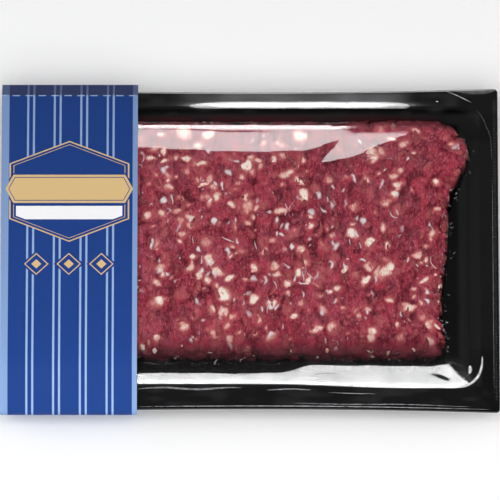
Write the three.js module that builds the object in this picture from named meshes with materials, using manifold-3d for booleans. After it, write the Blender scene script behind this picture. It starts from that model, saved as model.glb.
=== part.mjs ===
import * as THREE from 'three';
import { mergeVertices } from 'three/addons/utils/BufferGeometryUtils.js';
import Module from 'manifold-3d';

// A vacuum skin pack of coarse minced meat: a black formed tray with a narrow flange, a block of
// mince that stands proud of it, a clear skin film sealed to the flange, and a printed card sleeve
// round the left end. Millimetres, +X right along the pack, +Y towards its back, +Z up. The origin
// is under the middle of the pack, on the plane that it rests on.

const wasm = await Module();
wasm.setup();

// Clear space between neighbouring pieces.
const GAP = 0.3;

// Card sleeve.
const CARD = 0.45;
const SLEEVE_LEFT = -115.05;
const SLEEVE_RIGHT = -52;
const SLEEVE_HALF_DEPTH = 84;
const SLEEVE_BASE_HALF_DEPTH = 67.5;
const SLEEVE_LIP_TOP = 18.3;
const SLEEVE_LIP_BOTTOM = 13.2;
const SLEEVE_FOLD_BACK = 74;
const SLEEVE_FOLD_HEIGHT = 27.4;
const SLEEVE_SHOULDER_FRONT = -53;
const SLEEVE_SHOULDER_HEIGHT = 28.45;
const SLEEVE_RISE_FRONT = -71;
const SLEEVE_RISE_HEIGHT = 24.6;
const SLEEVE_CROWN = 0.35;
const SLEEVE_TOP_STEPS = 28;

// Formed tray.
const SHEET = 0.8;
const TRAY_LEFT = -114;
const TRAY_RIGHT = 115.05;
const TRAY_HALF_DEPTH = 83.1;
const TRAY_BOW = 2;
const TRAY_BASE = CARD + GAP;
const TRAY_DEPTH = 15.2;
const FLANGE_TOP = TRAY_BASE + SHEET + TRAY_DEPTH;
const FLANGE_CORNER = 4;
const LIP_HEIGHT = 2.9;
const LIP_RADIUS = 0.9;
const CAVITY_HALF_DEPTH = 72;
const CAVITY_END_MARGIN = 8.75;
const CAVITY_CORNER = 13;
const RIM_RADIUS = 1.2;
const WALL_LEAN = 5.4;
const FOOT_RADIUS = 2.4;
const FLOOR_MARGIN = 5;

// Block of mince.
const MINCE_LEFT = -92;
const MINCE_RIGHT = 92;
const MINCE_FRONT = -56;
const MINCE_BACK = 64;
const MINCE_CORNER = 7;
const MINCE_BOTTOM = TRAY_BASE + SHEET + GAP;
const MINCE_TOP = 27;
const CORE_SIDE_INSET = 1.5;
const CORE_TOP_INSET = 2;
const LEVEL_INSET = 22;
const BACK_SLOPE = 0.18;
const RIGHT_SLOPE = 0.08;
const BULGE = 8;
const BULGE_MIDDLE = 48;
const BULGE_WIDTH = 15;
const HOLLOW = 2.4;
const HOLLOW_MIDDLE = -28;
const HOLLOW_WIDTH = 18;
const UNEVEN_FROM = 50;
const SHOULDER_HEIGHT = 5;
const SHOULDER_WIDTH = 4;
const STRAND_PITCH = 9.2;
const STRAND_MARGIN = 4.5;
const STRAND_HALF_WIDTH = 5.5;
const STRAND_HALF_HEIGHT = 3.2;
const STRAND_SETBACK = 1.6;
const STRAND_SWAY = 0.8;
const STRAND_WAVE = 17;
const STRAND_SIDES = 6;
const STRAND_STEP = 9;
const BIT_RADIUS = 2.8;
const BITS_ON_TOP = 44;
const NUB_SPACING = 13;
const BIT_HALF_HEIGHT = 1.6;
const BIT_SINK = 0.3;
const NUB_INSET = 3.1;
const NUB_DEPTH = 3.5;
const NUB_DEPTH_RANGE = 8;
const CRUMB_SEED = 7;

// Skin film.
const FILM = 0.3;
const FILM_DIP = 3.4;
const FILM_FOOT = 2.4;

// Points on each stretch of an outline.
const LONG_SIDE_STEPS = 10;
const SHORT_SIDE_STEPS = 12;
const CORNER_STEPS = 4;

// Where the middle point of a quarter round lies, as a part of its radius.
const CUT = 1 - Math.SQRT1_2;

const UP = new THREE.Vector3(0, 0, 1);

// Steps by this part of a length spread places evenly over it.
const GOLDEN_PART = 0.618;

// A repeatable stream of numbers from 0 to 1.
function makeRandom(seed) {
  let state = seed;
  return () => {
    state = (state * 1664525 + 1013904223) % 4294967296;
    return state / 4294967296;
  };
}

// A rounded rectangle seen from above, anticlockwise, always with the same number of points.
function outline(plan, inset = 0) {
  const radius = Math.max(plan.radius - inset, 0.8);
  const left = plan.left + inset + radius;
  const right = plan.right - inset - radius;
  const front = plan.front + inset + radius;
  const back = plan.back - inset - radius;
  const corners = [[right, front], [right, back], [left, back], [left, front]];
  const points = [];
  corners.forEach(([x, y], corner) => {
    const [nextX, nextY] = corners[(corner + 1) % 4];
    const startAngle = (corner - 1) * Math.PI / 2;
    for (let step = 0; step <= CORNER_STEPS; step += 1) {
      const angle = startAngle + (step / CORNER_STEPS) * Math.PI / 2;
      points.push([x + radius * Math.cos(angle), y + radius * Math.sin(angle)]);
    }
    const sideX = radius * Math.cos(startAngle + Math.PI / 2);
    const sideY = radius * Math.sin(startAngle + Math.PI / 2);
    const steps = corner % 2 === 0 ? SHORT_SIDE_STEPS : LONG_SIDE_STEPS;
    for (let step = 1; step < steps; step += 1) {
      const part = step / steps;
      points.push([x + sideX + (nextX - x) * part, y + sideY + (nextY - y) * part]);
    }
  });
  return points.map(([x, y]) => plan.warp(x, y));
}

// Long sides drawn in towards the middle, as the flange of a filled pack is.
function bowLongSides(x, y) {
  const along = 2 * x / (TRAY_RIGHT - TRAY_LEFT);
  return [x, y * (1 - (TRAY_BOW / TRAY_HALF_DEPTH) * Math.max(1 - along * along, 0))];
}

function gaussian(value, middle, width) {
  return Math.exp(-(((value - middle) / width) ** 2));
}

// The right edge of the block bulges at its back corner and is hollow further forward.
function unevenRightEdge(x, y) {
  const part = Math.max((x - UNEVEN_FROM) / (MINCE_RIGHT - UNEVEN_FROM), 0);
  const bulge = BULGE * gaussian(y, BULGE_MIDDLE, BULGE_WIDTH);
  const hollow = HOLLOW * gaussian(y, HOLLOW_MIDDLE, HOLLOW_WIDTH);
  return [x + part * (bulge - hollow), y];
}

const FLANGE_PLAN = {
  left: TRAY_LEFT,
  right: TRAY_RIGHT,
  front: -TRAY_HALF_DEPTH,
  back: TRAY_HALF_DEPTH,
  radius: FLANGE_CORNER,
  warp: bowLongSides,
};

const CAVITY_PLAN = {
  left: TRAY_LEFT + CAVITY_END_MARGIN,
  right: TRAY_RIGHT - CAVITY_END_MARGIN,
  front: -CAVITY_HALF_DEPTH,
  back: CAVITY_HALF_DEPTH,
  radius: CAVITY_CORNER,
  warp: (x, y) => [x, y],
};

const MINCE_PLAN = {
  left: MINCE_LEFT,
  right: MINCE_RIGHT,
  front: MINCE_FRONT,
  back: MINCE_BACK,
  radius: MINCE_CORNER,
  warp: unevenRightEdge,
};

// How far the top of the block lies below its highest level.
function topDrop(x, y) {
  const backDrop = BACK_SLOPE * Math.max(y - (MINCE_BACK - LEVEL_INSET), 0);
  const rightDrop = RIGHT_SLOPE * Math.max(x - (MINCE_RIGHT - LEVEL_INSET), 0);
  return backDrop + rightDrop;
}

function levelRing(points, height) {
  return points.map(([x, y]) => new THREE.Vector3(x, y, height));
}

// A ring that follows the top of the block, a given depth below it.
function topRing(points, depth) {
  return points.map(([x, y]) => new THREE.Vector3(x, y, MINCE_TOP - depth - topDrop(x, y)));
}

function blend(first, second, part) {
  return first.map((point, index) => point.clone().lerp(second[index], part));
}

function geometryFrom(positions, triangles) {
  const geometry = new THREE.BufferGeometry();
  geometry.setAttribute('position', new THREE.Float32BufferAttribute(positions, 3));
  geometry.setIndex(triangles);
  return geometry;
}

// Quads between two neighbouring rings of vertices, each ring given by its first index.
function bridge(triangles, start, next, count, flip) {
  for (let index = 0; index < count; index += 1) {
    const following = (index + 1) % count;
    const a = start + index;
    const b = start + following;
    const c = next + following;
    const d = next + index;
    if (flip) {
      triangles.push(a, c, b, a, d, c);
    } else {
      triangles.push(a, b, c, a, c, d);
    }
  }
}

// A fan from the middle of a ring.
function cap(positions, triangles, ring, start, flip) {
  const middle = new THREE.Vector3();
  ring.forEach((point) => middle.add(point));
  middle.divideScalar(ring.length);
  const centre = positions.length / 3;
  positions.push(middle.x, middle.y, middle.z);
  for (let index = 0; index < ring.length; index += 1) {
    const following = (index + 1) % ring.length;
    if (flip) {
      triangles.push(centre, start + following, start + index);
    } else {
      triangles.push(centre, start + index, start + following);
    }
  }
}

// A closed body through rings from bottom to top, each anticlockwise from above.
function loft(rings) {
  const count = rings[0].length;
  const positions = rings.flat().flatMap((point) => [point.x, point.y, point.z]);
  const triangles = [];
  for (let ring = 0; ring + 1 < rings.length; ring += 1) {
    bridge(triangles, ring * count, (ring + 1) * count, count, false);
  }
  cap(positions, triangles, rings[0], 0, true);
  cap(positions, triangles, rings.at(-1), (rings.length - 1) * count, false);
  return geometryFrom(positions, triangles);
}

// The rings of the lower face of a sheet whose upper face is given, mitred at its bends.
function lowerRings(rings, thickness) {
  const count = rings[0].length;
  return rings.map((ring, level) => ring.map((point, index) => {
    const along = ring[(index + 1) % count].clone().sub(ring[(index + count - 1) % count]);
    const inner = rings[Math.min(level + 1, rings.length - 1)][index];
    const outer = rings[Math.max(level - 1, 0)][index];
    const normalIn = level + 1 < rings.length
      ? along.clone().cross(inner.clone().sub(point)).normalize()
      : UP.clone();
    const normalOut = level > 0
      ? along.clone().cross(point.clone().sub(outer)).normalize()
      : normalIn.clone();
    const scale = thickness / (1 + normalIn.dot(normalOut));
    return point.clone().addScaledVector(normalIn.add(normalOut), -scale);
  }));
}

// A closed sheet whose upper face runs through rings from its outer edge to its middle.
function sheet(rings, thickness) {
  const count = rings[0].length;
  const lower = lowerRings(rings, thickness);
  const positions = [...rings, ...lower].flat().flatMap((point) => [point.x, point.y, point.z]);
  const triangles = [];
  const lowerStart = rings.length * count;
  for (let ring = 0; ring + 1 < rings.length; ring += 1) {
    bridge(triangles, ring * count, (ring + 1) * count, count, false);
    bridge(triangles, lowerStart + ring * count, lowerStart + (ring + 1) * count, count, true);
  }
  bridge(triangles, lowerStart, 0, count, false);
  cap(positions, triangles, rings.at(-1), (rings.length - 1) * count, false);
  cap(positions, triangles, lower.at(-1), lowerStart + (rings.length - 1) * count, true);
  return geometryFrom(positions, triangles);
}

function toManifold(geometry) {
  const plain = geometry.clone();
  plain.deleteAttribute('normal');
  plain.deleteAttribute('uv');
  const merged = mergeVertices(plain, 1e-4);
  const mesh = new wasm.Mesh({
    numProp: 3,
    vertProperties: new Float32Array(merged.attributes.position.array),
    triVerts: new Uint32Array(merged.index.array),
  });
  return new wasm.Manifold(mesh);
}

function fromManifold(body) {
  const mesh = body.getMesh();
  return geometryFrom([...mesh.vertProperties], [...mesh.triVerts]);
}

// Without loose scraps and without the small hollows that fusing closed off.
function largestPiece(body) {
  return body.decompose().reduce((best, piece) => (piece.volume() > best.volume() ? piece : best));
}

function namedMesh(name, geometry, material) {
  geometry.computeVertexNormals();
  const mesh = new THREE.Mesh(geometry, new THREE.MeshStandardMaterial(material));
  mesh.name = name;
  return mesh;
}

// Black sheet formed into a shallow tray: a turned-down lip, a flat flange, a rounded rim, leaning
// walls and a flat floor.
function makeTray() {
  const floor = TRAY_BASE + SHEET;
  const rings = [
    levelRing(outline(FLANGE_PLAN), FLANGE_TOP - LIP_HEIGHT),
    levelRing(outline(FLANGE_PLAN), FLANGE_TOP - LIP_RADIUS),
    levelRing(outline(FLANGE_PLAN, LIP_RADIUS * CUT), FLANGE_TOP - LIP_RADIUS * CUT),
    levelRing(outline(FLANGE_PLAN, LIP_RADIUS), FLANGE_TOP),
    levelRing(outline(CAVITY_PLAN, -RIM_RADIUS), FLANGE_TOP),
    levelRing(outline(CAVITY_PLAN, -RIM_RADIUS * CUT), FLANGE_TOP - RIM_RADIUS * CUT),
    levelRing(outline(CAVITY_PLAN), FLANGE_TOP - RIM_RADIUS),
    levelRing(outline(CAVITY_PLAN, WALL_LEAN - FOOT_RADIUS * CUT), floor + FOOT_RADIUS),
    levelRing(outline(CAVITY_PLAN, WALL_LEAN), floor + FOOT_RADIUS * CUT),
    levelRing(outline(CAVITY_PLAN, WALL_LEAN + FOOT_RADIUS), floor),
    levelRing(outline(CAVITY_PLAN, WALL_LEAN + FLOOR_MARGIN), floor),
  ];
  const material = { color: 0x17161a, roughness: 0.25, metalness: 0 };
  return namedMesh('tray', sheet(rings, SHEET), material);
}

// The plain inside of the block, which the strands lie on.
function mincedCore() {
  return loft([
    levelRing(outline(MINCE_PLAN, CORE_SIDE_INSET), MINCE_BOTTOM),
    levelRing(outline(MINCE_PLAN, CORE_SIDE_INSET), FLANGE_TOP),
    topRing(outline(MINCE_PLAN, CORE_SIDE_INSET), SHOULDER_HEIGHT),
    topRing(outline(MINCE_PLAN, CORE_SIDE_INSET + SHOULDER_WIDTH), CORE_TOP_INSET),
    topRing(outline(MINCE_PLAN, LEVEL_INSET), CORE_TOP_INSET),
    topRing(outline(MINCE_PLAN, 2 * LEVEL_INSET), CORE_TOP_INSET),
  ]);
}

// One strand from the mincer, lying front to back and swaying a little, with ragged ends.
function strand(middle, random) {
  const front = MINCE_FRONT + STRAND_SETBACK * (1 + random());
  const back = MINCE_BACK - STRAND_SETBACK * (1 + random());
  const steps = Math.round((back - front) / STRAND_STEP);
  const sway = STRAND_SWAY * (1 + random());
  const phase = 2 * Math.PI * random();
  const rings = [];
  for (let step = 0; step <= steps; step += 1) {
    const y = front + (back - front) * (step / steps);
    const swayed = middle + sway * Math.sin(phase + y / STRAND_WAVE) + STRAND_SWAY * (random() - 0.5);
    const [x] = unevenRightEdge(swayed, y);
    const isEnd = step === 0 || step === steps;
    const fullness = (0.9 + 0.2 * random()) * (isEnd ? 0.7 : 1);
    const top = MINCE_TOP - topDrop(x, y) - 0.7 * random() - (isEnd ? STRAND_SETBACK : 0);
    const ring = [];
    for (let side = 0; side < STRAND_SIDES; side += 1) {
      const angle = 2 * Math.PI * side / STRAND_SIDES;
      const across = STRAND_HALF_WIDTH * fullness * Math.cos(angle);
      const up = STRAND_HALF_HEIGHT * (Math.sin(angle) - 1);
      ring.push(new THREE.Vector3(x - across, y, top + up));
    }
    rings.push(ring);
  }
  return loft(rings);
}

// One short broken bit, a stretched lump with few sides.
function bit(place, size, turn) {
  const geometry = new THREE.IcosahedronGeometry(1, 0);
  geometry.scale(size[0], size[1], size[2]);
  geometry.rotateZ(turn);
  geometry.translate(place[0], place[1], place[2]);
  return geometry;
}

// Bits pressed into the top of the block, spread evenly.
function bitsOnTop(random) {
  const inset = BIT_RADIUS + SHOULDER_WIDTH;
  const width = MINCE_RIGHT - MINCE_LEFT - 2 * inset;
  const depth = MINCE_BACK - MINCE_FRONT - 2 * inset;
  return Array.from({ length: BITS_ON_TOP }, (_, index) => {
    const x = MINCE_LEFT + inset + width * ((index * GOLDEN_PART) % 1);
    const y = MINCE_FRONT + inset + depth * ((index + 0.5) / BITS_ON_TOP);
    const z = MINCE_TOP - topDrop(x, y) - BIT_HALF_HEIGHT - BIT_SINK;
    const length = BIT_RADIUS * (1.1 + 0.7 * random());
    return bit([x, y, z], [BIT_RADIUS, length, BIT_HALF_HEIGHT], 1.4 * (random() - 0.5));
  });
}

// Strand ends and crumbs that stick out of the four sides of the block.
function nubsOnSides(random) {
  const path = new THREE.CurvePath();
  const edge = levelRing(outline(MINCE_PLAN, NUB_INSET), 0);
  edge.forEach((point, index) => {
    path.add(new THREE.LineCurve3(point, edge[(index + 1) % edge.length]));
  });
  const count = Math.round(path.getLength() / NUB_SPACING);
  return Array.from({ length: count }, (_, index) => {
    const { x, y } = path.getPointAt((index + 0.6 * random()) / count);
    const z = MINCE_TOP - topDrop(x, y) - NUB_DEPTH - NUB_DEPTH_RANGE * random();
    const size = [0, 1, 2].map(() => BIT_RADIUS * (0.75 + 0.3 * random()));
    return bit([x, y, z], size, random());
  });
}

// Coarse mince: strands, broken bits and strand ends fused to one core, their tops pressed flat.
function makeMince() {
  const random = makeRandom(CRUMB_SEED);
  let body = toManifold(mincedCore());
  const count = Math.round((MINCE_RIGHT - MINCE_LEFT - 2 * STRAND_MARGIN) / STRAND_PITCH);
  for (let index = 0; index < count; index += 1) {
    const place = index + 0.5 + 0.3 * (random() - 0.5);
    const middle = MINCE_LEFT + STRAND_MARGIN + STRAND_PITCH * place;
    body = body.add(toManifold(strand(middle, random)));
  }
  [...bitsOnTop(random), ...nubsOnSides(random)].forEach((geometry) => {
    body = body.add(toManifold(geometry));
  });
  const material = { color: 0x93434e, roughness: 0.5, metalness: 0 };
  return namedMesh('mince', fromManifold(largestPiece(body)), material);
}

// Clear skin film: flat on the flange, dipping between the rim and the block, up the sides of the
// block and over its top.
function makeFilm() {
  const clear = GAP + FILM;
  const flangeLevel = FLANGE_TOP + clear;
  const rim = levelRing(outline(CAVITY_PLAN), flangeLevel);
  const foot = levelRing(outline(MINCE_PLAN, -FILM_FOOT), flangeLevel - FILM_DIP);
  const rings = [
    levelRing(outline(FLANGE_PLAN, LIP_RADIUS), flangeLevel),
    levelRing(outline(CAVITY_PLAN, -RIM_RADIUS), flangeLevel),
    rim,
    blend(rim, foot, 0.5),
    foot,
    levelRing(outline(MINCE_PLAN, -clear), flangeLevel - FILM_DIP + FILM_FOOT),
    topRing(outline(MINCE_PLAN, -clear), SHOULDER_HEIGHT - clear),
    topRing(outline(MINCE_PLAN, CUT * SHOULDER_WIDTH - clear), CUT * SHOULDER_HEIGHT - clear),
    topRing(outline(MINCE_PLAN, SHOULDER_WIDTH), -clear),
    topRing(outline(MINCE_PLAN, 2 * SHOULDER_WIDTH), -clear),
    topRing(outline(MINCE_PLAN, LEVEL_INSET), -clear),
    topRing(outline(MINCE_PLAN, 2 * LEVEL_INSET), -clear),
  ];
  const material = { color: 0xdfe4e8, roughness: 0.05, metalness: 0, transparent: true, opacity: 0.3 };
  return namedMesh('film', sheet(rings, FILM), material);
}

// The sleeve's outer face seen from its right end, anticlockwise from the front of its base: flat
// base, leaning sides, upright strips past the tray's lip, a bevel down to the back edge, and a
// top that rises in a curve from the front edge.
function sleeveProfile() {
  const topMiddle = (SLEEVE_FOLD_BACK + SLEEVE_SHOULDER_FRONT) / 2;
  const top = new THREE.SplineCurve([
    new THREE.Vector2(SLEEVE_FOLD_BACK, SLEEVE_FOLD_HEIGHT),
    new THREE.Vector2(topMiddle, SLEEVE_SHOULDER_HEIGHT + SLEEVE_CROWN),
    new THREE.Vector2(SLEEVE_SHOULDER_FRONT, SLEEVE_SHOULDER_HEIGHT),
    new THREE.Vector2(SLEEVE_RISE_FRONT, SLEEVE_RISE_HEIGHT),
    new THREE.Vector2(-SLEEVE_HALF_DEPTH, SLEEVE_LIP_TOP),
  ]);
  return [
    new THREE.Vector2(-SLEEVE_BASE_HALF_DEPTH, 0),
    new THREE.Vector2(SLEEVE_BASE_HALF_DEPTH, 0),
    new THREE.Vector2(SLEEVE_HALF_DEPTH, SLEEVE_LIP_BOTTOM),
    new THREE.Vector2(SLEEVE_HALF_DEPTH, SLEEVE_LIP_TOP),
    ...top.getPoints(SLEEVE_TOP_STEPS),
    new THREE.Vector2(-SLEEVE_HALF_DEPTH, SLEEVE_LIP_BOTTOM),
  ];
}

// The same loop moved inwards by the thickness of the card.
function insetLoop(points, distance) {
  const count = points.length;
  return points.map((point, index) => {
    const before = point.clone().sub(points[(index + count - 1) % count]).normalize();
    const after = points[(index + 1) % count].clone().sub(point).normalize();
    const normalBefore = new THREE.Vector2(-before.y, before.x);
    const normalAfter = new THREE.Vector2(-after.y, after.x);
    const scale = distance / (1 + normalBefore.dot(normalAfter));
    return point.clone().addScaledVector(normalBefore.add(normalAfter), scale);
  });
}

// Printed card folded into a loop round the left end of the tray, open at both ends.
function makeSleeve() {
  const outer = sleeveProfile();
  const shape = new THREE.Shape(outer);
  shape.holes.push(new THREE.Path(insetLoop(outer, CARD)));
  const geometry = new THREE.ExtrudeGeometry(shape, {
    depth: SLEEVE_RIGHT - SLEEVE_LEFT,
    bevelEnabled: false,
    steps: 1,
  });
  const acrossToLength = new THREE.Matrix4().makeBasis(
    new THREE.Vector3(0, 1, 0),
    new THREE.Vector3(0, 0, 1),
    new THREE.Vector3(1, 0, 0),
  );
  geometry.applyMatrix4(acrossToLength);
  geometry.translate(SLEEVE_LEFT, 0, 0);
  const material = { color: 0x2c4c8e, roughness: 0.6, metalness: 0 };
  return namedMesh('sleeve', geometry, material);
}

const group = new THREE.Group();
group.add(makeTray(), makeMince(), makeFilm(), makeSleeve());

export default group;
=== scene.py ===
import math
import bpy
import numpy as np
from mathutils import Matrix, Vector
from mathutils.bvhtree import BVHTree


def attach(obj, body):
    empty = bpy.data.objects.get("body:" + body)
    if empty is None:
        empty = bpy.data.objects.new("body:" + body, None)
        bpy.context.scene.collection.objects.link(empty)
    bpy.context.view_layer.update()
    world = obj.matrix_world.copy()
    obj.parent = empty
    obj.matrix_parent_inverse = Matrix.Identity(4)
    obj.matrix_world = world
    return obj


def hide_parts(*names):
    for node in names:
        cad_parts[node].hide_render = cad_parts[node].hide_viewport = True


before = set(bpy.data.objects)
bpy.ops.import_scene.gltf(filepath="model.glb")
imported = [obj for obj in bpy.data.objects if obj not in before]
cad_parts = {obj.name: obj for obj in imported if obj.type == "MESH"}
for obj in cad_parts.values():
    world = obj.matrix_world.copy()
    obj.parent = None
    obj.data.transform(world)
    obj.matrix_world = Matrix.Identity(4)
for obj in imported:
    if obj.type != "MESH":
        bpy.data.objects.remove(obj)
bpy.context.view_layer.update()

# Camera.
# A long lens well above the front of the pack, tipped down by 64.2 degrees, so that its near and
# far edges are drawn at nearly one scale. The picture is 231 mm wide at the level of the rim.
MM = 0.001
PICTURE_WIDTH = 231.15
VIEW_TILT = math.radians(64.2)
LENS_LENGTH = 1000
SENSOR_WIDTH = 36
RIM_LEVEL = 16.75
view_distance = PICTURE_WIDTH * LENS_LENGTH / SENSOR_WIDTH
looked_at = Vector((0, -0.5, RIM_LEVEL)) * MM
towards_camera = Vector((0, -math.cos(VIEW_TILT), math.sin(VIEW_TILT)))
camera_lens = bpy.data.cameras.new("camera")
camera_lens.lens = LENS_LENGTH
camera_lens.sensor_width = SENSOR_WIDTH
camera_lens.clip_end = 30
camera = bpy.data.objects.new("camera", camera_lens)
camera.location = looked_at + towards_camera * view_distance * MM
camera.rotation_euler = towards_camera.to_track_quat("Z", "Y").to_euler()
bpy.context.scene.collection.objects.link(camera)
bpy.context.scene.camera = camera

# Tray.
# A shallow black tray, vacuum-formed from 0.8 mm PET sheet: a lip turned down round a flat flange,
# a rounded rim, leaning walls and a flat floor. The pack stands on the flat of the card below it.
SHEET = 0.8
TRAY_LEFT = -114
TRAY_RIGHT = 115.05
TRAY_HALF_DEPTH = 83.1
TRAY_BOW = 2
TRAY_CORNER = 2
TRAY_FLOOR = 1.55
LIP_HEIGHT = 1.5
LIP_RADIUS = 0.9
CAVITY_FRONT = -70
CAVITY_BACK = 72
CAVITY_MARGIN = 8.75
CAVITY_CORNER = 13
NEAR_SIDE_BOW = 2.1
RIM_RADIUS = 1.2
WALL_LEAN = 5.4
WALL_SLOPE = 0.3
FOOT_RADIUS = 2.4
CORNER_STEPS = 12
SHORT_SIDE_STEPS = 84
LONG_SIDE_STEPS = 140
LIP_STEPS = 5
FLANGE_STEPS = 13
RIM_STEPS = 6
WALL_STEPS = 7
FOOT_STEPS = 5
FLOOR_INSETS = (14, 24, 40)


def linear_colour(code):
    """The linear colour of an sRGB hex value."""
    parts = [int(code[start:start + 2], 16) / 255 for start in (1, 3, 5)]
    return [part / 12.92 if part <= 0.04045 else ((part + 0.055) / 1.055) ** 2.4 for part in parts] + [1]


def add_node(tree, kind, settings=None, links=None):
    """Adds a shader node. Settings give properties by name or values of sockets, links feed sockets."""
    node = tree.nodes.new(kind)
    for key, value in (settings or {}).items():
        if isinstance(key, str) and key.islower():
            setattr(node, key, value)
        else:
            node.inputs[key].default_value = value
    for key, socket in (links or {}).items():
        tree.links.new(socket, node.inputs[key])
    return node


def new_finish(name):
    """A material with a plain Principled shader, and its tree and that shader."""
    finish = bpy.data.materials.new(name)
    finish.use_nodes = True
    return finish, finish.node_tree, finish.node_tree.nodes["Principled BSDF"]


def pattern_scale(size):
    """The scale of a noise pattern whose spots are a given size in millimetres."""
    return 1 / (size * MM)


def make_piece(name, points, faces, finish, values=None, crease=None):
    """A smooth-shaded mesh from points in millimetres, with a number for each point under each name."""
    mesh = bpy.data.meshes.new(name)
    mesh.from_pydata((np.asarray(points, float) * MM).tolist(), [], faces)
    mesh.polygons.foreach_set("use_smooth", [True] * len(mesh.polygons))
    for key, numbers in (values or {}).items():
        layer = mesh.attributes.new(key, "FLOAT", "POINT")
        layer.data.foreach_set("value", np.asarray(numbers, np.float32).ravel())
    if crease is not None:
        mesh.set_sharp_from_angle(angle=math.radians(crease))
    mesh.materials.append(finish)
    piece = bpy.data.objects.new(name, mesh)
    bpy.context.scene.collection.objects.link(piece)
    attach(piece, "root")
    return piece


def ease(value, start, end):
    """0 before start, 1 past end, and a smooth climb between them."""
    part = np.clip((np.asarray(value, float) - start) / (end - start), 0, 1)
    return part * part * (3 - 2 * part)


def bow_long_sides(points):
    """The flange's long sides are drawn in by 2 mm towards their middle, as on a filled pack."""
    along = 2 * points[:, 0] / (TRAY_RIGHT - TRAY_LEFT)
    drawn_in = TRAY_BOW / TRAY_HALF_DEPTH * np.clip(1 - along * along, 0, 1)
    return np.column_stack([points[:, 0], points[:, 1] * (1 - drawn_in)])


def bow_near_side(points):
    """The cavity's near side is drawn in by the film, except towards its right end."""
    drawn_in = NEAR_SIDE_BOW * (1 - ease(points[:, 0], 5, 75)) * ease(-points[:, 1], 30, 68)
    return np.column_stack([points[:, 0], points[:, 1] + drawn_in])


def outline(plan, inset=0.0):
    """A rounded rectangle from above, anticlockwise, always with the same number of points."""
    left, right, front, back, corner, shift = plan
    radius = max(corner - inset, 0.8)
    ends = [
        (right - inset - radius, front + inset + radius),
        (right - inset - radius, back - inset - radius),
        (left + inset + radius, back - inset - radius),
        (left + inset + radius, front + inset + radius),
    ]
    points = []
    for number, (x, y) in enumerate(ends):
        next_x, next_y = ends[(number + 1) % 4]
        first = (number - 1) * math.pi / 2
        for step in range(CORNER_STEPS + 1):
            angle = first + step / CORNER_STEPS * math.pi / 2
            points.append((x + radius * math.cos(angle), y + radius * math.sin(angle)))
        last_x = radius * math.cos(first + math.pi / 2)
        last_y = radius * math.sin(first + math.pi / 2)
        steps = SHORT_SIDE_STEPS if number % 2 == 0 else LONG_SIDE_STEPS
        for step in range(1, steps):
            part = step / steps
            points.append((x + last_x + (next_x - x) * part, y + last_y + (next_y - y) * part))
    return shift(np.array(points))


def level_ring(points, height):
    """A ring at one height."""
    return np.column_stack([points, np.full(len(points), float(height))])


def rim_rise(points):
    """The far flange stands up to 1 mm proud along the middle of its inner edge, where the film pulls."""
    along = ease(points[:, 0], -56, -4) * (1 - ease(points[:, 0], 50, 102))
    across = (1 - ease(points[:, 1], 70, 77)) * ease(points[:, 1], 63, 69)
    return 1.05 * along * across


def ring_faces(rings, count, start=0, flip=False):
    """Quads between neighbouring rings of count points, and a fan over the last ring."""
    faces = []
    for ring in range(rings - 1):
        for index in range(count):
            a = start + ring * count + index
            b = start + ring * count + (index + 1) % count
            faces.append((a, a + count, b + count, b) if flip else (a, b, b + count, a + count))
    last = start + (rings - 1) * count
    middle = start + rings * count
    for index in range(count):
        a = last + index
        b = last + (index + 1) % count
        faces.append((a, middle, b) if flip else (a, b, middle))
    return faces


def with_middle(rings):
    """All points of the rings, then the middle of the last one."""
    return np.concatenate(rings + [rings[-1].mean(axis=0, keepdims=True)])


def lower_face(rings, thickness):
    """The rings of a sheet's lower face, mitred at its bends."""
    lower = []
    for level, ring in enumerate(rings):
        along = np.roll(ring, -1, axis=0) - np.roll(ring, 1, axis=0)
        inner = rings[min(level + 1, len(rings) - 1)]
        outer = rings[max(level - 1, 0)]
        if level + 1 < len(rings):
            inward = np.cross(along, inner - ring)
        else:
            inward = np.tile((0, 0, 1.0), (len(ring), 1))
        inward = inward / np.maximum(np.linalg.norm(inward, axis=1, keepdims=True), 1e-9)
        outward = np.cross(along, ring - outer) if level > 0 else inward
        outward = outward / np.maximum(np.linalg.norm(outward, axis=1, keepdims=True), 1e-9)
        scale = thickness / (1 + np.sum(inward * outward, axis=1, keepdims=True))
        lower.append(ring - (inward + outward) * scale)
    return lower


FLANGE_PLAN = (TRAY_LEFT, TRAY_RIGHT, -TRAY_HALF_DEPTH, TRAY_HALF_DEPTH, TRAY_CORNER, bow_long_sides)
CAVITY_PLAN = (
    TRAY_LEFT + CAVITY_MARGIN,
    TRAY_RIGHT - CAVITY_MARGIN,
    CAVITY_FRONT,
    CAVITY_BACK,
    CAVITY_CORNER,
    bow_near_side,
)

# Rings from the lip's edge inwards: round the lip, over the flange and the rim, down the wall, round
# the foot and over the floor. The lower face follows them, and the two join at the lip's edge.
tray_rings = [
    level_ring(outline(FLANGE_PLAN), RIM_LEVEL - LIP_HEIGHT),
    level_ring(outline(FLANGE_PLAN), RIM_LEVEL - (LIP_HEIGHT + LIP_RADIUS) / 2),
]
for turn in np.linspace(0, math.pi / 2, LIP_STEPS):
    inset = LIP_RADIUS * (1 - math.cos(turn))
    height = RIM_LEVEL - LIP_RADIUS * (1 - math.sin(turn))
    tray_rings.append(level_ring(outline(FLANGE_PLAN, inset), height))
flange_edge = outline(FLANGE_PLAN, LIP_RADIUS)
rim_edge = outline(CAVITY_PLAN, -RIM_RADIUS)
for part in np.linspace(0, 1, FLANGE_STEPS)[1:]:
    tray_rings.append(level_ring(flange_edge + (rim_edge - flange_edge) * part, RIM_LEVEL))
for turn in np.linspace(0, math.pi / 2, RIM_STEPS)[1:]:
    inset = RIM_RADIUS * (math.sin(turn) - 1)
    height = RIM_LEVEL - RIM_RADIUS * (1 - math.cos(turn))
    tray_rings.append(level_ring(outline(CAVITY_PLAN, inset), height))
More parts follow.
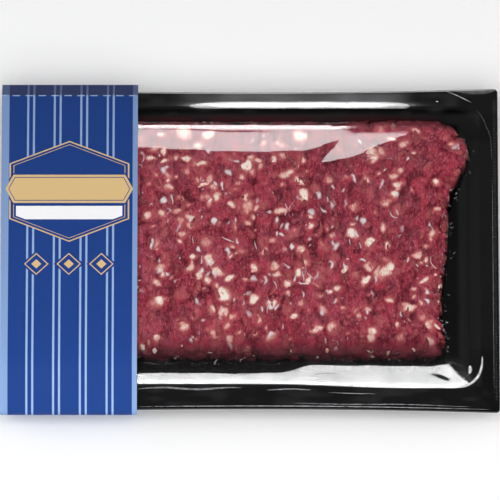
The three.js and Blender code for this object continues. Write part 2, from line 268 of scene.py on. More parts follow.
for part in np.linspace(0, 1, WALL_STEPS)[1:]:
    drop = (RIM_LEVEL - RIM_RADIUS - TRAY_FLOOR - FOOT_RADIUS) * part
    inset = (WALL_LEAN - FOOT_RADIUS * WALL_SLOPE) * part
    tray_rings.append(level_ring(outline(CAVITY_PLAN, inset), RIM_LEVEL - RIM_RADIUS - drop))
for turn in np.linspace(0, math.pi / 2, FOOT_STEPS)[1:]:
    inset = WALL_LEAN + FOOT_RADIUS * (1 - math.cos(turn) - WALL_SLOPE * (1 - math.sin(turn)))
    height = TRAY_FLOOR + FOOT_RADIUS * (1 - math.sin(turn))
    tray_rings.append(level_ring(outline(CAVITY_PLAN, inset), height))
for inset in FLOOR_INSETS:
    tray_rings.append(level_ring(outline(CAVITY_PLAN, inset), TRAY_FLOOR))
for ring in tray_rings:
    ring[:, 2] += rim_rise(ring)
tray_under = lower_face(tray_rings, SHEET)
ring_size = len(tray_rings[0])
tray_points = np.concatenate([with_middle(tray_rings), with_middle(tray_under)])
tray_faces = ring_faces(len(tray_rings), ring_size)
under_start = len(tray_rings) * ring_size + 1
tray_faces += ring_faces(len(tray_rings), ring_size, under_start, flip=True)
for index in range(ring_size):
    following = (index + 1) % ring_size
    tray_faces.append((under_start + index, under_start + following, following, index))

# Black PET: a near-black body with the gloss of rolled sheet, drawn a little uneven by the forming
# in waves of 11 mm. The fine grain of the sheet, drawn as coarse as 0.7 mm to show, blurs its gloss.
formed_pet, tree, shader = new_finish("formed_black_pet")
place = add_node(tree, "ShaderNodeTexCoord")
drawn = add_node(tree, "ShaderNodeTexNoise", {"Scale": pattern_scale(11.1), "Detail": 2},
                 {"Vector": place.outputs["Object"]})
grain = add_node(tree, "ShaderNodeTexNoise", {"Scale": pattern_scale(0.714), "Detail": 2},
                 {"Vector": place.outputs["Object"]})
shade = add_node(tree, "ShaderNodeMix",
                 {"data_type": "RGBA", 6: linear_colour("#040405"), 7: linear_colour("#09090c")},
                 {0: drawn.outputs["Fac"]})
rough = add_node(tree, "ShaderNodeMapRange", {"To Min": 0.1, "To Max": 0.17},
                 {"Value": grain.outputs["Fac"]})
waves = add_node(tree, "ShaderNodeBump", {"Strength": 0.12, "Distance": 0.4 * MM},
                 {"Height": drawn.outputs["Fac"]})
tree.links.new(shade.outputs[2], shader.inputs["Base Color"])
tree.links.new(rough.outputs["Result"], shader.inputs["Roughness"])
tree.links.new(waves.outputs["Normal"], shader.inputs["Normal"])
shader.inputs["IOR"].default_value = 1.57
tray = make_piece("formed_tray", tray_points, tray_faces, formed_pet, crease=50)
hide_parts("tray")

# Mince.
# Coarse lean mince with about a tenth fat, laid as a block of strands from front to back and
# pressed flat by the film. The block is one body of fused bits, with loose bits, fat and sinew on it.
MINCE_LEFT = -92
MINCE_RIGHT = 92
MINCE_FRONT = -56
MINCE_BACK = 64
MINCE_FOOT = 1.9
CORE_TOP = 25.2
CORE_INSET = 1.3
SHOULDER = 4.4
CORE_CORNER = 1.6
PRESSED = 1.35
PRESS_BLEND = 0.18
BIT_COUNT = 2900
STRAND_COUNT = 24
SMALL_FAT_COUNT = 430
SMALL_SINEW_COUNT = 230
mince_random = np.random.default_rng(11)
core_left = MINCE_LEFT + CORE_INSET + SHOULDER + CORE_CORNER
core_right = MINCE_RIGHT - CORE_INSET - SHOULDER - CORE_CORNER
core_front = MINCE_FRONT + CORE_INSET + SHOULDER + CORE_CORNER
core_back = MINCE_BACK - CORE_INSET - SHOULDER - CORE_CORNER


def gentle_noise(x, y, cell, seed):
    """Smooth ups and downs from -1 to 1, about a cell of millimetres apart."""
    lattice = np.random.default_rng(seed).uniform(-1, 1, (128, 128))
    across = np.asarray(x, float) / cell + 50
    along = np.asarray(y, float) / cell + 50
    column = np.floor(across).astype(int)
    row = np.floor(along).astype(int)
    part_x = ease(across - column, 0, 1)
    part_y = ease(along - row, 0, 1)
    near = lattice[row % 128, column % 128] * (1 - part_x) + lattice[row % 128, (column + 1) % 128] * part_x
    row = row + 1
    far = lattice[row % 128, column % 128] * (1 - part_x) + lattice[row % 128, (column + 1) % 128] * part_x
    return near * (1 - part_y) + far * part_y


def uneven_right_edge(x, y):
    """The block's right edge bulges at its back corner and is hollow further forward."""
    part = np.clip((x - 50) / (MINCE_RIGHT - 50), 0, None)
    bulge = 8 * np.exp(-(((y - 48) / 15) ** 2))
    hollow = 1.3 * (1 - ease(y, 22, 42)) + 3.3 * np.exp(-(((y + 28) / 20) ** 2))
    return x + part * (bulge - hollow)


def pulled_band(x, y):
    """How far the film's pull has tipped the top backwards: a long band by the far edge that forks."""
    band_front = np.interp(x, [-90, -52, -33, -15, 9, 25, 32.3, 39.2, 41.3, 43.4, 46],
                           [49, 48, 47.8, 46.4, 46.2, 46.5, 48.7, 51.8, 53.2, 54, 55.5])
    band = ease(y, band_front - 1.5, band_front + 0.9) * (1 - ease(x, 44.5, 47))
    band = band * (1 - 0.8 * ease(x, 40, 43) * ease(y, 56.5, 58))
    lobe_front = np.interp(x, [30, 46, 57.7, 72, 75], [38, 42, 48.1, 55, 58])
    lobe_back = np.interp(x, [31, 37, 41.6, 43.4, 46, 73], [39, 45.5, 51.4, 55.2, 56.3, 57.5])
    lobe = ease(y, lobe_front - 0.6, lobe_front + 0.6) * (1 - ease(y, lobe_back - 0.6, lobe_back + 0.6))
    return np.clip(band + lobe * ease(x, 30, 33), 0, 1)


# The top's slope to the back, as drop over run: gentle near the far edge, more in the pulled band
# and past the fold, less along a crease. Summed from front to back it gives how far the top has dropped.
SLOPE_STEP = 0.25
slope_y = np.arange(20, 70, SLOPE_STEP)
slope_x = np.arange(-100, 110.1, 1)
slope_at_x, slope_at_y = np.meshgrid(slope_x, slope_y)
plain_slope = 0.1 * ease(slope_at_y, 33, 44)
folded = ease(slope_at_y, 58.2, 58.9) * (1 - ease(slope_at_x, 36, 44))
crease_start = 57.6 - 1.2 * ease(slope_at_x, -30, -10)
creased = ease(slope_at_y, crease_start, crease_start + 0.5)
creased = creased * (1 - ease(slope_at_y, crease_start + 0.8, crease_start + 1.2))
creased = creased * (1 - ease(slope_at_x, 0, 22))
tipped = plain_slope + 0.06 * pulled_band(slope_at_x, slope_at_y) + 0.09 * folded - 0.08 * creased
drop_table = np.cumsum(tipped, axis=0) * SLOPE_STEP


def top_drop(x, y):
    """How far the top of the block lies below its highest level. It also falls past x = 70."""
    row = np.clip((np.asarray(y, float) - slope_y[0]) / SLOPE_STEP, 0, len(slope_y) - 1.001)
    column = np.clip(np.asarray(x, float) - slope_x[0], 0, len(slope_x) - 1.001)
    i = row.astype(int)
    j = column.astype(int)
    part_y = row - i
    part_x = column - j
    near = drop_table[i, j] * (1 - part_x) + drop_table[i, j + 1] * part_x
    far = drop_table[i + 1, j] * (1 - part_x) + drop_table[i + 1, j + 1] * part_x
    return near * (1 - part_y) + far * part_y + 0.07 * np.clip(np.asarray(x, float) - 70, 0, None)


def wrap(flat_x, flat_y, relief):
    """Lays a flat place over the block: across its top, round its shoulder, down its side."""
    middle_x = np.clip(flat_x, core_left, core_right)
    middle_y = np.clip(flat_y, core_front, core_back)
    away_x = flat_x - middle_x
    away_y = flat_y - middle_y
    away = np.hypot(away_x, away_y)
    safe = np.maximum(away, 1e-9)
    past = away - CORE_CORNER
    turn = np.clip(past / SHOULDER, 0, math.pi / 2)
    down = np.clip(past - SHOULDER * math.pi / 2, 0, CORE_TOP - SHOULDER - MINCE_FOOT)
    radial = np.where(past > 0, CORE_CORNER + (SHOULDER + relief) * np.sin(turn), away)
    x = middle_x + away_x / safe * radial
    y = middle_y + away_y / safe * radial
    z = CORE_TOP - SHOULDER + (SHOULDER + relief) * np.cos(turn) - down
    x = uneven_right_edge(x, y)
    z = z - top_drop(x, y) * np.clip((z - MINCE_FOOT) / (CORE_TOP - MINCE_FOOT), 0, 1)
    return x, y, z


# A flat grid that is laid over the block, finest over its top, and a swirled copy of it in which the
# bits' outlines are measured.
grid_x = np.concatenate([np.arange(-113, -57, 1.6), np.arange(-57, 101, 0.56), np.arange(101, 113.5, 1.5)])
grid_y = np.concatenate([np.arange(-77, -65, 1.5), np.arange(-65, 73, 0.6), np.arange(73, 85.5, 1.5)])
flat_x, flat_y = np.meshgrid(grid_x, grid_y)
swirl_x = flat_x + 1.1 * gentle_noise(flat_x, flat_y, 4.2, 1) + 0.45 * gentle_noise(flat_x, flat_y, 1.7, 2)
swirl_y = flat_y + 1.3 * gentle_noise(flat_x, flat_y, 5.1, 3) + 0.5 * gentle_noise(flat_x, flat_y, 1.9, 4)


def footprint(x, y, half_width, half_length, turn):
    """The part of the grid round a bit, and how far out each of its points lies, 1 at the bit's edge."""
    reach = half_length + half_width + 1.5
    row = min(int(np.searchsorted(grid_y, y)), len(grid_y) - 1)
    column = min(int(np.searchsorted(grid_x, x)), len(grid_x) - 1)
    rows = slice(*np.searchsorted(grid_y, (y - reach, y + reach)))
    columns = slice(*np.searchsorted(grid_x, (x - reach, x + reach)))
    away_x = swirl_x[rows, columns] - swirl_x[row, column]
    away_y = swirl_y[rows, columns] - swirl_y[row, column]
    across = (away_x * math.cos(turn) + away_y * math.sin(turn)) / half_width
    along = (away_y * math.cos(turn) - away_x * math.sin(turn)) / half_length
    return (rows, columns), np.hypot(across, along)


def soften(numbers, times):
    """Each number drawn towards its neighbours."""
    for _ in range(times):
        padded = np.pad(numbers, 1, mode="edge")
        sides = padded[:-2, 1:-1] + padded[2:, 1:-1] + padded[1:-1, :-2] + padded[1:-1, 2:]
        numbers = numbers * 0.5 + sides * 0.125
    return numbers


def past_top(x, y):
    """How far a flat place lies past the flat part of the block's top."""
    return np.hypot(x - np.clip(x, core_left, core_right), y - np.clip(y, core_front, core_back))


# The bits of lean: long rounded lumps, each with a tone of its own.
lean_height = np.full_like(flat_x, 0.72)
lean_tone = np.zeros_like(flat_x)
for _ in range(BIT_COUNT):
    bit_x = mince_random.uniform(grid_x[0], grid_x[-1])
    bit_y = mince_random.uniform(grid_y[0], grid_y[-1])
    half_width = mince_random.uniform(1.6, 3.1)
    half_length = half_width * mince_random.uniform(1.1, 2.6)
    window, out = footprint(bit_x, bit_y, half_width, half_length, mince_random.normal(0, 0.45))
    rise = mince_random.uniform(0.2, 0.8) + 1.3 * np.sqrt(np.clip(1 - out * out, 0, 1))
    higher = (rise > lean_height[window]) & (out < 1)
    lean_height[window] = np.where(higher, rise, lean_height[window])
    lean_tone[window] = np.where(higher, mince_random.uniform(0, 1), lean_tone[window])
lean_tone = soften(lean_tone, 2)

# The strands lie side by side, so the creases between them run from front to back.
strand_creases = np.zeros_like(flat_x)
crease_x = -100.0
for number in range(STRAND_COUNT):
    crease_x += mince_random.uniform(6.5, 11.5)
    sway = 1.6 * gentle_noise(flat_y, flat_y * 0, 14, 40 + number) + 0.5 * gentle_noise(flat_x, flat_y, 3, 7)
    shown = ease(gentle_noise(flat_y, flat_y * 0, 17, 80 + number), -0.5, 0.35)
    width = mince_random.uniform(0.55, 0.95)
    strand_creases += shown * np.exp(-(((flat_x - crease_x - sway) / width) ** 2))

# The film presses the top flat at one level. The sides are left crumbly, the right one most.
unpressed = np.exp(-lean_height / PRESS_BLEND) + math.exp(-PRESSED / PRESS_BLEND)
pressed_height = -PRESS_BLEND * np.log(unpressed)
on_side = ease(past_top(flat_x, flat_y), 2, 8)
ragged = ease(flat_x, core_right + 1, core_right + 5)
crumbly = (1.5 + 0.7 * ragged) * lean_height - 1.0 - 1.1 * ragged
notches = 1.5 * gentle_noise(flat_y, flat_y * 0, 3.4, 12) + 0.9 * gentle_noise(flat_y, flat_x / 4, 1.7, 13)
crumbly = crumbly + (0.9 + 0.3 * ragged) * gentle_noise(flat_x, flat_y, 4.6, 8) + ragged * notches
crumbly = np.clip(crumbly, -2.6, 2.3)
mince_relief = soften(pressed_height * (1 - on_side) + crumbly * on_side, 1)
mince_relief = mince_relief - 0.7 * np.clip(strand_creases, 0, 1)
mince_relief = mince_relief + 0.06 * gentle_noise(flat_x, flat_y, 1.3, 9)
# Painted shade in the hollows between the bits and along the creases between the strands.
painted_crease_shade = np.clip((1.14 - soften(pressed_height, 1)) / 0.7, 0, 1)
painted_crease_shade = painted_crease_shade + 0.8 * np.clip(strand_creases, 0, 1)


def fat_places(count, seed):
    """Places of fat over the block, thicker in some parts of it than in others."""
    chance = np.random.default_rng(seed)
    places = []
    while len(places) < count:
        x, y = chance.uniform(-100, 104), chance.uniform(-66, 74)
        plenty = 0.55 + 0.5 * float(gentle_noise(x, y, 20, 31)) - 0.2 * float(ease(x, 60, 90))
        if chance.uniform(0, 1) < plenty:
            places.append((x, y))
    return places


# The larger lumps of fat and streaks of sinew: x, y, half width, half length, turn in degrees, and
# how pale a lump is.
large_fat = [
    (-30.1, 55.6, 3.4, 3.6, 0, 0.72), (-19.5, 55.0, 2.3, 2.0, 0, 1.00), (-24.5, 48.9, 1.9, 1.8, 0, 0.85),
    (-41.7, 55.0, 1.7, 1.3, 0, 0.85), (-44.0, 47.2, 1.7, 1.1, 0, 0.75), (-45.8, 41.8, 2.1, 1.1, 0, 0.80),
    (-40.3, 45.1, 1.1, 2.2, 0, 0.85), (-40.3, 40.2, 1.5, 1.1, 0, 0.90), (-29.6, 41.3, 1.9, 1.8, 0, 0.90),
    (-21.8, 39.7, 1.7, 1.1, 0, 0.85), (-1.0, 38.1, 1.3, 2.7, -25, 1.00), (-0.5, 42.4, 1.7, 1.3, 0, 0.70),
    (4.6, 38.1, 1.3, 1.8, 0, 0.60), (11.0, 41.3, 1.3, 1.8, 0, 0.75), (21.7, 38.6, 0.9, 1.8, 0, 0.80),
    (14.3, 32.9, 2.1, 1.3, 0, 0.70), (18.0, 34.5, 2.1, 1.8, 0, 0.62), (-22.2, 28.0, 0.8, 2.2, -70, 0.92),
    (-17.6, 27.3, 1.3, 1.3, 0, 0.60), (-15.8, 21.1, 1.1, 1.8, 0, 0.75), (-8.8, 17.5, 1.7, 1.3, 0, 0.70),
    (-1.4, 16.5, 2.1, 2.2, 0, 0.58), (12.9, 14.4, 2.6, 1.3, 0, 0.75), (-47.7, 12.9, 1.7, 1.8, 0, 0.70),
    (-41.2, 13.9, 2.1, 1.8, 0, 0.70), (-19.0, -9.7, 1.9, 2.9, 0, 0.80), (-26.9, -9.2, 1.3, 1.3, 0, 0.85),
    (-27.8, -14.3, 2.1, 1.8, 0, 0.75), (-23.6, -18.4, 1.1, 2.2, 0, 0.70), (-15.3, -15.9, 1.3, 3.1, 65, 0.80),
    (-10.2, -19.5, 1.7, 1.6, 0, 0.88), (-13.0, -27.7, 2.6, 2.9, 0, 1.00), (-19.5, -21.0, 1.3, 1.8, 0, 0.70),
    (1.8, -30.8, 1.9, 1.8, 0, 0.86), (9.7, -31.8, 2.1, 1.8, 0, 0.92), (-41.7, -30.3, 2.3, 2.7, 0, 0.90),
    (-41.7, -14.9, 2.1, 2.2, 0, 0.62), (-43.5, -22.0, 1.7, 1.3, 0, 0.70), (19.8, -39.5, 1.9, 1.6, 0, 0.80),
    (-17.2, -35.4, 0.9, 2.2, 10, 0.75), (-13.5, -37.5, 1.3, 2.2, 0, 0.68), (-11.1, -36.9, 1.3, 2.2, 0, 0.66),
    (-43.0, -49.8, 1.7, 1.8, 0, 0.80), (-30.6, -45.2, 1.3, 1.8, 0, 0.65), (-10.7, -44.1, 1.7, 2.2, 0, 0.60),
    (-3.7, -48.8, 1.3, 1.6, 0, 0.86), (-9.8, -50.8, 1.7, 1.8, 0, 0.65), (17.1, -23.1, 2.1, 1.3, 0, 0.86),
    (22.1, -17.4, 1.5, 1.6, 0, 0.92), (1.8, -14.9, 1.7, 1.8, 0, 0.75), (11.0, -13.8, 1.7, 1.8, 0, 0.75),
    (-2.8, -20.5, 1.7, 0.9, 0, 0.60), (-7.0, 6.7, 0.9, 2.7, 0, 0.50), (-31.9, 2.6, 1.3, 1.3, 0, 0.62),
    (-20.8, -2.5, 2.6, 2.7, 0, 0.48), (24.0, 54.5, 2.6, 2.7, 0, 0.78), (23.5, 29.8, 2.6, 2.2, 0, 0.80),
    (24.9, 22.6, 1.7, 2.7, 0, 0.92), (46.2, 3.1, 2.2, 2.2, 0, 1.00), (55.9, -1.0, 2.6, 2.2, 0, 0.86),
    (62.4, -16.4, 3.0, 2.7, 0, 0.84), (66.1, -14.9, 1.7, 1.3, 0, 0.92), (58.5, -16.9, 1.3, 2.7, 0, 0.60),
    (54.2, -21.0, 1.2, 2.5, -60, 0.92), (39.7, -25.1, 1.7, 1.8, 0, 0.86), (36.9, -27.2, 0.9, 0.9, 0, 0.86),
    (26.8, -21.8, 1.7, 1.6, 0, 0.96), (24.5, -12.3, 1.7, 2.7, 0, 0.64), (24.0, -4.6, 1.7, 2.2, 0, 0.60),
    (54.4, 45.6, 1.7, 1.8, 0, 0.80), (58.6, 45.6, 1.3, 1.8, 0, 0.60), (63.2, 52.2, 1.7, 1.1, 0, 0.90),
    (67.8, 27.8, 1.7, 1.3, 0, 0.75), (67.2, 23.7, 1.3, 1.8, 0, 0.80), (62.3, 17.5, 1.7, 1.8, 0, 0.70),
    (61.5, 6.2, 1.3, 2.2, 0, 0.70), (63.9, -3.0, 1.1, 1.3, 0, 0.86), (68.3, 35.5, 1.7, 1.3, 0, 0.70),
    (65.5, 32.4, 1.7, 1.3, 0, 0.65), (84.2, 30.4, 1.3, 1.3, 0, 0.95), (86.8, 16.0, 1.3, 1.3, 0, 0.60),
    (85.1, 3.6, 1.5, 1.6, 0, 0.65), (82.5, -10.7, 1.2, 2.5, -50, 0.76), (83.3, -21.0, 0.9, 2.2, -60, 0.80),
    (76.6, -34.4, 3.2, 1.8, 0, 0.80), (54.7, -35.9, 1.5, 1.3, 0, 0.76), (56.0, -47.2, 2.1, 1.8, 0, 0.70),
    (36.9, -44.6, 2.1, 2.7, 0, 0.65), (32.3, -45.7, 1.7, 1.3, 0, 0.75), (84.1, -43.6, 1.1, 2.2, 0, 0.75),
    (68.9, -43.6, 0.9, 1.3, 0, 0.86), (47.1, 17.0, 2.1, 1.8, 0, 0.55), (36.9, 30.4, 1.7, 1.8, 0, 0.55),
    (84.5, -51.3, 1.7, 1.8, 0, 0.66), (82.0, -32.3, 1.3, 0.9, 0, 0.65), (27.7, 6.7, 1.1, 2.2, -50, 0.82),
]
large_sinew = [
    (-39.8, 20.1, 1.8, 1.9, 0), (-40.3, 36.0, 1.6, 2.4, 0), (-17.2, 9.8, 1.6, 1.9, 0),
    (-19.0, -10.7, 1.8, 2.4, 0), (-0.5, -38.5, 1.6, 3.2, 25), (6.9, -5.6, 0.9, 2.4, 15),
    (-45.4, -2.5, 0.9, 1.9, 10), (28.6, 13.9, 1.6, 1.9, 0), (31.9, 22.6, 1.2, 2.4, 0),
    (37.9, 18.5, 1.2, 2.9, 0), (35.6, 21.6, 0.9, 2.4, 0), (39.7, -3.6, 1.8, 3.2, -35),
    (52.7, 9.8, 1.8, 2.4, 0), (71.0, -38.5, 0.7, 2.4, 0), (60.2, 27.8, 0.7, 2.4, 0),
    (30.9, -18.4, 0.9, 2.4, 0), (-16.7, -17.4, 1.2, 2.4, 0), (1.8, -20.0, 0.9, 2.4, 0),
    (-41.7, -15.9, 1.8, 1.9, 0), (52.7, -10.7, 0.5, 2.7, -88), (16.6, 6.7, 1.2, 1.9, 0),
    (18.9, -3.6, 0.9, 2.4, 0), (43.4, -14.9, 0.7, 2.9, 0), (20.3, -20.0, 0.7, 1.9, 0),
    (6.9, -20.5, 0.9, 2.9, 0), (-7.4, -31.3, 0.7, 1.9, 0), (56.7, -27.7, 0.6, 3.4, 0),
    (-13.0, 26.2, 0.6, 1.9, 0), (-1.4, -27.7, 1.8, 1.0, 0), (69.9, 42.9, 0.6, 1.5, 0),
]
fat_lumps = [(x, y, 1.15 * width, 1.15 * length, math.radians(turn), pale)
             for x, y, width, length, turn, pale in large_fat]
for x, y in fat_places(SMALL_FAT_COUNT, 21):
    size = 0.5 + 1.3 * mince_random.uniform(0, 1) ** 1.6
    fat_lumps.append((x, y, size, size * mince_random.uniform(1, 1.6), mince_random.normal(0, 1),
                      mince_random.uniform(0.15, 0.74)))

# Each lump of fat has a reddish halo round a pale heart.
fat = np.zeros_like(flat_x)
for x, y, size, length, turn, rich in fat_lumps:
    shift_x, shift_y = mince_random.uniform(-0.5, 0.5, 2) * size
    halo = 1.35 + 0.75 / size
    window, out = footprint(x + shift_x, y + shift_y, halo * size, halo * length, turn)
    fat[window] = np.maximum(fat[window], (0.26 + 0.32 * rich) * np.clip(1 - out * out, 0, 1))
    window, out = footprint(x, y, size, length, turn)
    fat[window] = fat[window] + 0.8 * max(rich - 0.28, 0) * np.clip(1 - out ** 3, 0, 1)
fat = np.clip(fat, 0, 1.05)
sinew_streaks = [(x, y, 1.2 * width, 1.2 * length, math.radians(turn))
                 for x, y, width, length, turn in large_sinew]
for x, y in fat_places(SMALL_SINEW_COUNT, 24):
    size = mince_random.uniform(0.4, 1.1)
    sinew_streaks.append((x, y, size, size * mince_random.uniform(1.4, 3.4), mince_random.normal(0, 0.45)))
sinew = np.zeros_like(flat_x)
for x, y, size, length, turn in sinew_streaks:
    window, out = footprint(x, y, size, length, turn)
    shown = mince_random.uniform(0.45, 1) * np.clip((1 - out) * 1.7, 0, 1)
    sinew[window] = np.maximum(sinew[window], shown)
mince_relief = mince_relief + 0.1 * fat + 0.06 * sinew
core_x, core_y, core_z = wrap(flat_x, flat_y, mince_relief)


def painted_shade_at(x, y, z):
    """Painted shade on the meat: darker down its sides, from higher up at its right end, and towards its
    long edges, where shade falls.
    """
    start = 24.2 + 0.9 * ease(x, 82, 88)
    low = np.clip((start - top_drop(x, y) - z) / 8, 0, 1.26) ** 1.3
    back_edge = (0.45 + 0.15 * ease(x, 60, 90)) * ease(y, 57, 64)
    edge = 0.68 * ease(-np.asarray(y, float), 46.5, 57.5) + back_edge
    return edge + (1 - edge) * np.minimum(low, 1) + np.maximum(low - 1, 0)


# The laid grid is the block's skin, left off where it would lie along the foot. One fan closes it.
# The painted shade of each point of the block's skin.
painted_shade = painted_shade_at(core_x, core_y, core_z)
core_points = np.column_stack([core_x.ravel(), core_y.ravel(), core_z.ravel()])
rows, columns = flat_x.shape
first = (np.arange(rows - 1)[:, None] * columns + np.arange(columns - 1)[None, :]).ravel()
core_quads = np.column_stack([first, first + 1, first + columns + 1, first + columns])
lowest = MINCE_FOOT + 0.01
kept = core_points[core_quads][:, :, 2].max(axis=1) > lowest
core_faces = core_quads[kept].tolist()
border = list(range(columns)) + list(range(2 * columns - 1, rows * columns, columns))
border += list(range(rows * columns - 2, (rows - 1) * columns - 1, -1))
border += list(range((rows - 2) * columns, 0, -columns))
core_points = np.vstack([core_points, [[0, 4, MINCE_FOOT]]])
core_faces += [(border[(i + 1) % len(border)], border[i], len(core_points) - 1) for i in range(len(border))]
mince_values = {"tone": lean_tone, "crease_shade": painted_crease_shade, "fat": fat, "sinew": sinew, "painted_shade": painted_shade}
mince_values = {key: np.append(numbers.ravel(), 0) for key, numbers in mince_values.items()}

# Raw lean under a film: deep rose meat with a fine fibre along the strands, a moist and uneven gloss and a
# mauve bloom in places, with painted shade in its creases and hollows, down its sides and towards its long
# edges. Fat goes from a reddish rim through peach to cream, and sinew lies in it as greyish streaks. The
# real fibres are about 0.1 mm wide and are drawn 0.9 mm wide to show. The mottle comes every 4 mm, the bloom
# every 10 mm.
raw_lean, tree, shader = new_finish("minced_raw_lean")
place = add_node(tree, "ShaderNodeTexCoord")
along_strands = add_node(tree, "ShaderNodeMapping", {"Scale": (1, 0.45, 1)},
                         {"Vector": place.outputs["Object"]})
fibre = add_node(tree, "ShaderNodeTexNoise",
                 {"Scale": pattern_scale(0.8696), "Detail": 4, "Roughness": 0.7, "Distortion": 0.9},
                 {"Vector": along_strands.outputs[0]})
mottle = add_node(tree, "ShaderNodeTexNoise",
                  {"Scale": pattern_scale(4.348), "Detail": 5, "Roughness": 0.72, "Distortion": 0.7},
                  {"Vector": place.outputs["Object"]})
bloom = add_node(tree, "ShaderNodeTexNoise",
                 {"Scale": pattern_scale(10.53), "Detail": 4, "Roughness": 0.66, "Distortion": 0.4},
                 {"Vector": place.outputs["Object"]})
tone = add_node(tree, "ShaderNodeAttribute", {"attribute_name": "tone"})
body = add_node(tree, "ShaderNodeMath", {"operation": "MULTIPLY_ADD", 1: 0.3}, {0: tone.outputs["Fac"]})
tree.links.new(mottle.outputs["Fac"], body.inputs[2])
lean_ramp = add_node(tree, "ShaderNodeMapRange", {"From Min": 0.42, "From Max": 0.86},
                     {"Value": body.outputs[0]})
lean = add_node(tree, "ShaderNodeMix",
                {"data_type": "RGBA", 6: linear_colour("#5e1023"), 7: linear_colour("#b03a4d")},
                {0: lean_ramp.outputs["Result"]})
bloom_ramp = add_node(tree, "ShaderNodeMapRange", {"From Min": 0.47, "From Max": 0.68, "To Max": 0.42},
                      {"Value": bloom.outputs["Fac"]})
lean = add_node(tree, "ShaderNodeMix", {"data_type": "RGBA", 7: linear_colour("#b25c6d")},
                {0: bloom_ramp.outputs["Result"], 6: lean.outputs[2]})
between_ramp = add_node(tree, "ShaderNodeMapRange", {"From Min": 0.47, "From Max": 0.33, "To Max": 0.75},
                        {"Value": fibre.outputs["Fac"]})
lean = add_node(tree, "ShaderNodeMix", {"data_type": "RGBA", 7: linear_colour("#4c0816")},
                {0: between_ramp.outputs["Result"], 6: lean.outputs[2]})
fibre_ramp = add_node(tree, "ShaderNodeMapRange", {"From Min": 0.52, "From Max": 0.68, "To Max": 0.75},
                      {"Value": fibre.outputs["Fac"]})
lean = add_node(tree, "ShaderNodeMix", {"data_type": "RGBA", 7: linear_colour("#c16e7a")},
                {0: fibre_ramp.outputs["Result"], 6: lean.outputs[2]})
# Layers over the lean: painted shade in its creases and hollows, then fat and sinew, and last painted shade
# down its sides and towards its long edges.
layers = [
    ("crease_shade", 0.15, 1.1, "#54101f", 0.75),
    ("fat", 0.05, 0.5, "#c8686a", 0.75),
    ("sinew", 0.12, 0.5, "#c09aa2", 0.75),
    ("fat", 0.38, 0.66, "#e4ab9f", 0.95),
    ("sinew", 0.42, 0.85, "#ece2e2", 0.9),
    ("fat", 0.64, 0.96, "#f8ebdf", 1.0),
    ("painted_shade", 0.0, 0.62, "#501622", 0.85),
    ("painted_shade", 0.58, 1.14, "#170e11", 0.95),
    ("painted_shade", 1.0, 1.25, "#060405", 1.0),
]
for name, start, end, colour, most in layers:
    amount = add_node(tree, "ShaderNodeAttribute", {"attribute_name": name})
    broken = add_node(tree, "ShaderNodeMath", {"operation": "MULTIPLY_ADD", 1: 1.3, 2: 0.35},
                      {0: fibre.outputs["Fac"]})
    uneven = add_node(tree, "ShaderNodeMath", {"operation": "MULTIPLY"},
                      {0: amount.outputs["Fac"], 1: broken.outputs[0]})
    shown = add_node(tree, "ShaderNodeMapRange", {"From Min": start, "From Max": end, "To Max": most},
                     {"Value": uneven.outputs[0]})
    lean = add_node(tree, "ShaderNodeMix", {"data_type": "RGBA", 7: linear_colour(colour)},
                    {0: shown.outputs["Result"], 6: lean.outputs[2]})
moist = add_node(tree, "ShaderNodeMapRange", {"To Min": 0.5, "To Max": 0.7},
                 {"Value": mottle.outputs["Fac"]})
fibre_bump = add_node(tree, "ShaderNodeBump", {"Strength": 0.5, "Distance": 0.3 * MM},
                      {"Height": fibre.outputs["Fac"]})
mottle_bump = add_node(tree, "ShaderNodeBump", {"Strength": 0.5, "Distance": 0.6 * MM},
                       {"Height": mottle.outputs["Fac"], "Normal": fibre_bump.outputs["Normal"]})
tree.links.new(lean.outputs[2], shader.inputs["Base Color"])
tree.links.new(moist.outputs["Result"], shader.inputs["Roughness"])
tree.links.new(mottle_bump.outputs["Normal"], shader.inputs["Normal"])
shader.inputs["IOR"].default_value = 1.38
shader.inputs["Specular IOR Level"].default_value = 0.08
mince = make_piece("mince_block", core_points, core_faces, raw_lean, mince_values)
mince.visible_glossy = False
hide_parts("mince")

# Loose bits, fat and sinew.
# Short broken strands and crumbs of lean, lumps of hard fat, and thin white threads of sinew. They
# lie in the surface of the block, flat where the film presses them, and stick out of its sides.
FILM_OVER_MEAT = 1.75
FILM_OVER_SIDE = 2.5
BALL_ROWS = 7
BALL_SIDES = 10
LOOSE_BITS = 170
CRUMB_COUNT = 210
FLECK_COUNT = 70
EDGE_FLECK_COUNT = 60
THREAD_COUNT = 40


def unit_ball():
    """Points and faces of a ball of radius 1, its rows from end to end along Y."""
    points = [(0, -1, 0)]
    for row in range(1, BALL_ROWS):
        turn = math.pi * row / BALL_ROWS
        radius = math.sin(turn)
        for side in range(BALL_SIDES):
            angle = 2 * math.pi * side / BALL_SIDES
            points.append((radius * math.cos(angle), -math.cos(turn), radius * math.sin(angle)))
    points.append((0, 1, 0))
    faces = []
    for side in range(BALL_SIDES):
        following = (side + 1) % BALL_SIDES
        faces.append((0, 1 + side, 1 + following))
        for row in range(BALL_ROWS - 2):
            a = 1 + row * BALL_SIDES
            faces.append((a + side, a + BALL_SIDES + side, a + BALL_SIDES + following, a + following))
        last = 1 + (BALL_ROWS - 2) * BALL_SIDES
        faces.append((len(points) - 1, last + following, last + side))
    return np.array(points), faces


def level_at(x, y):
    """The height of the block's relief at a flat place."""
    row = np.clip(np.searchsorted(grid_y, y), 0, len(grid_y) - 1)
    column = np.clip(np.searchsorted(grid_x, x), 0, len(grid_x) - 1)
    return mince_relief[row, column]


ball_points, ball_faces = unit_ball()


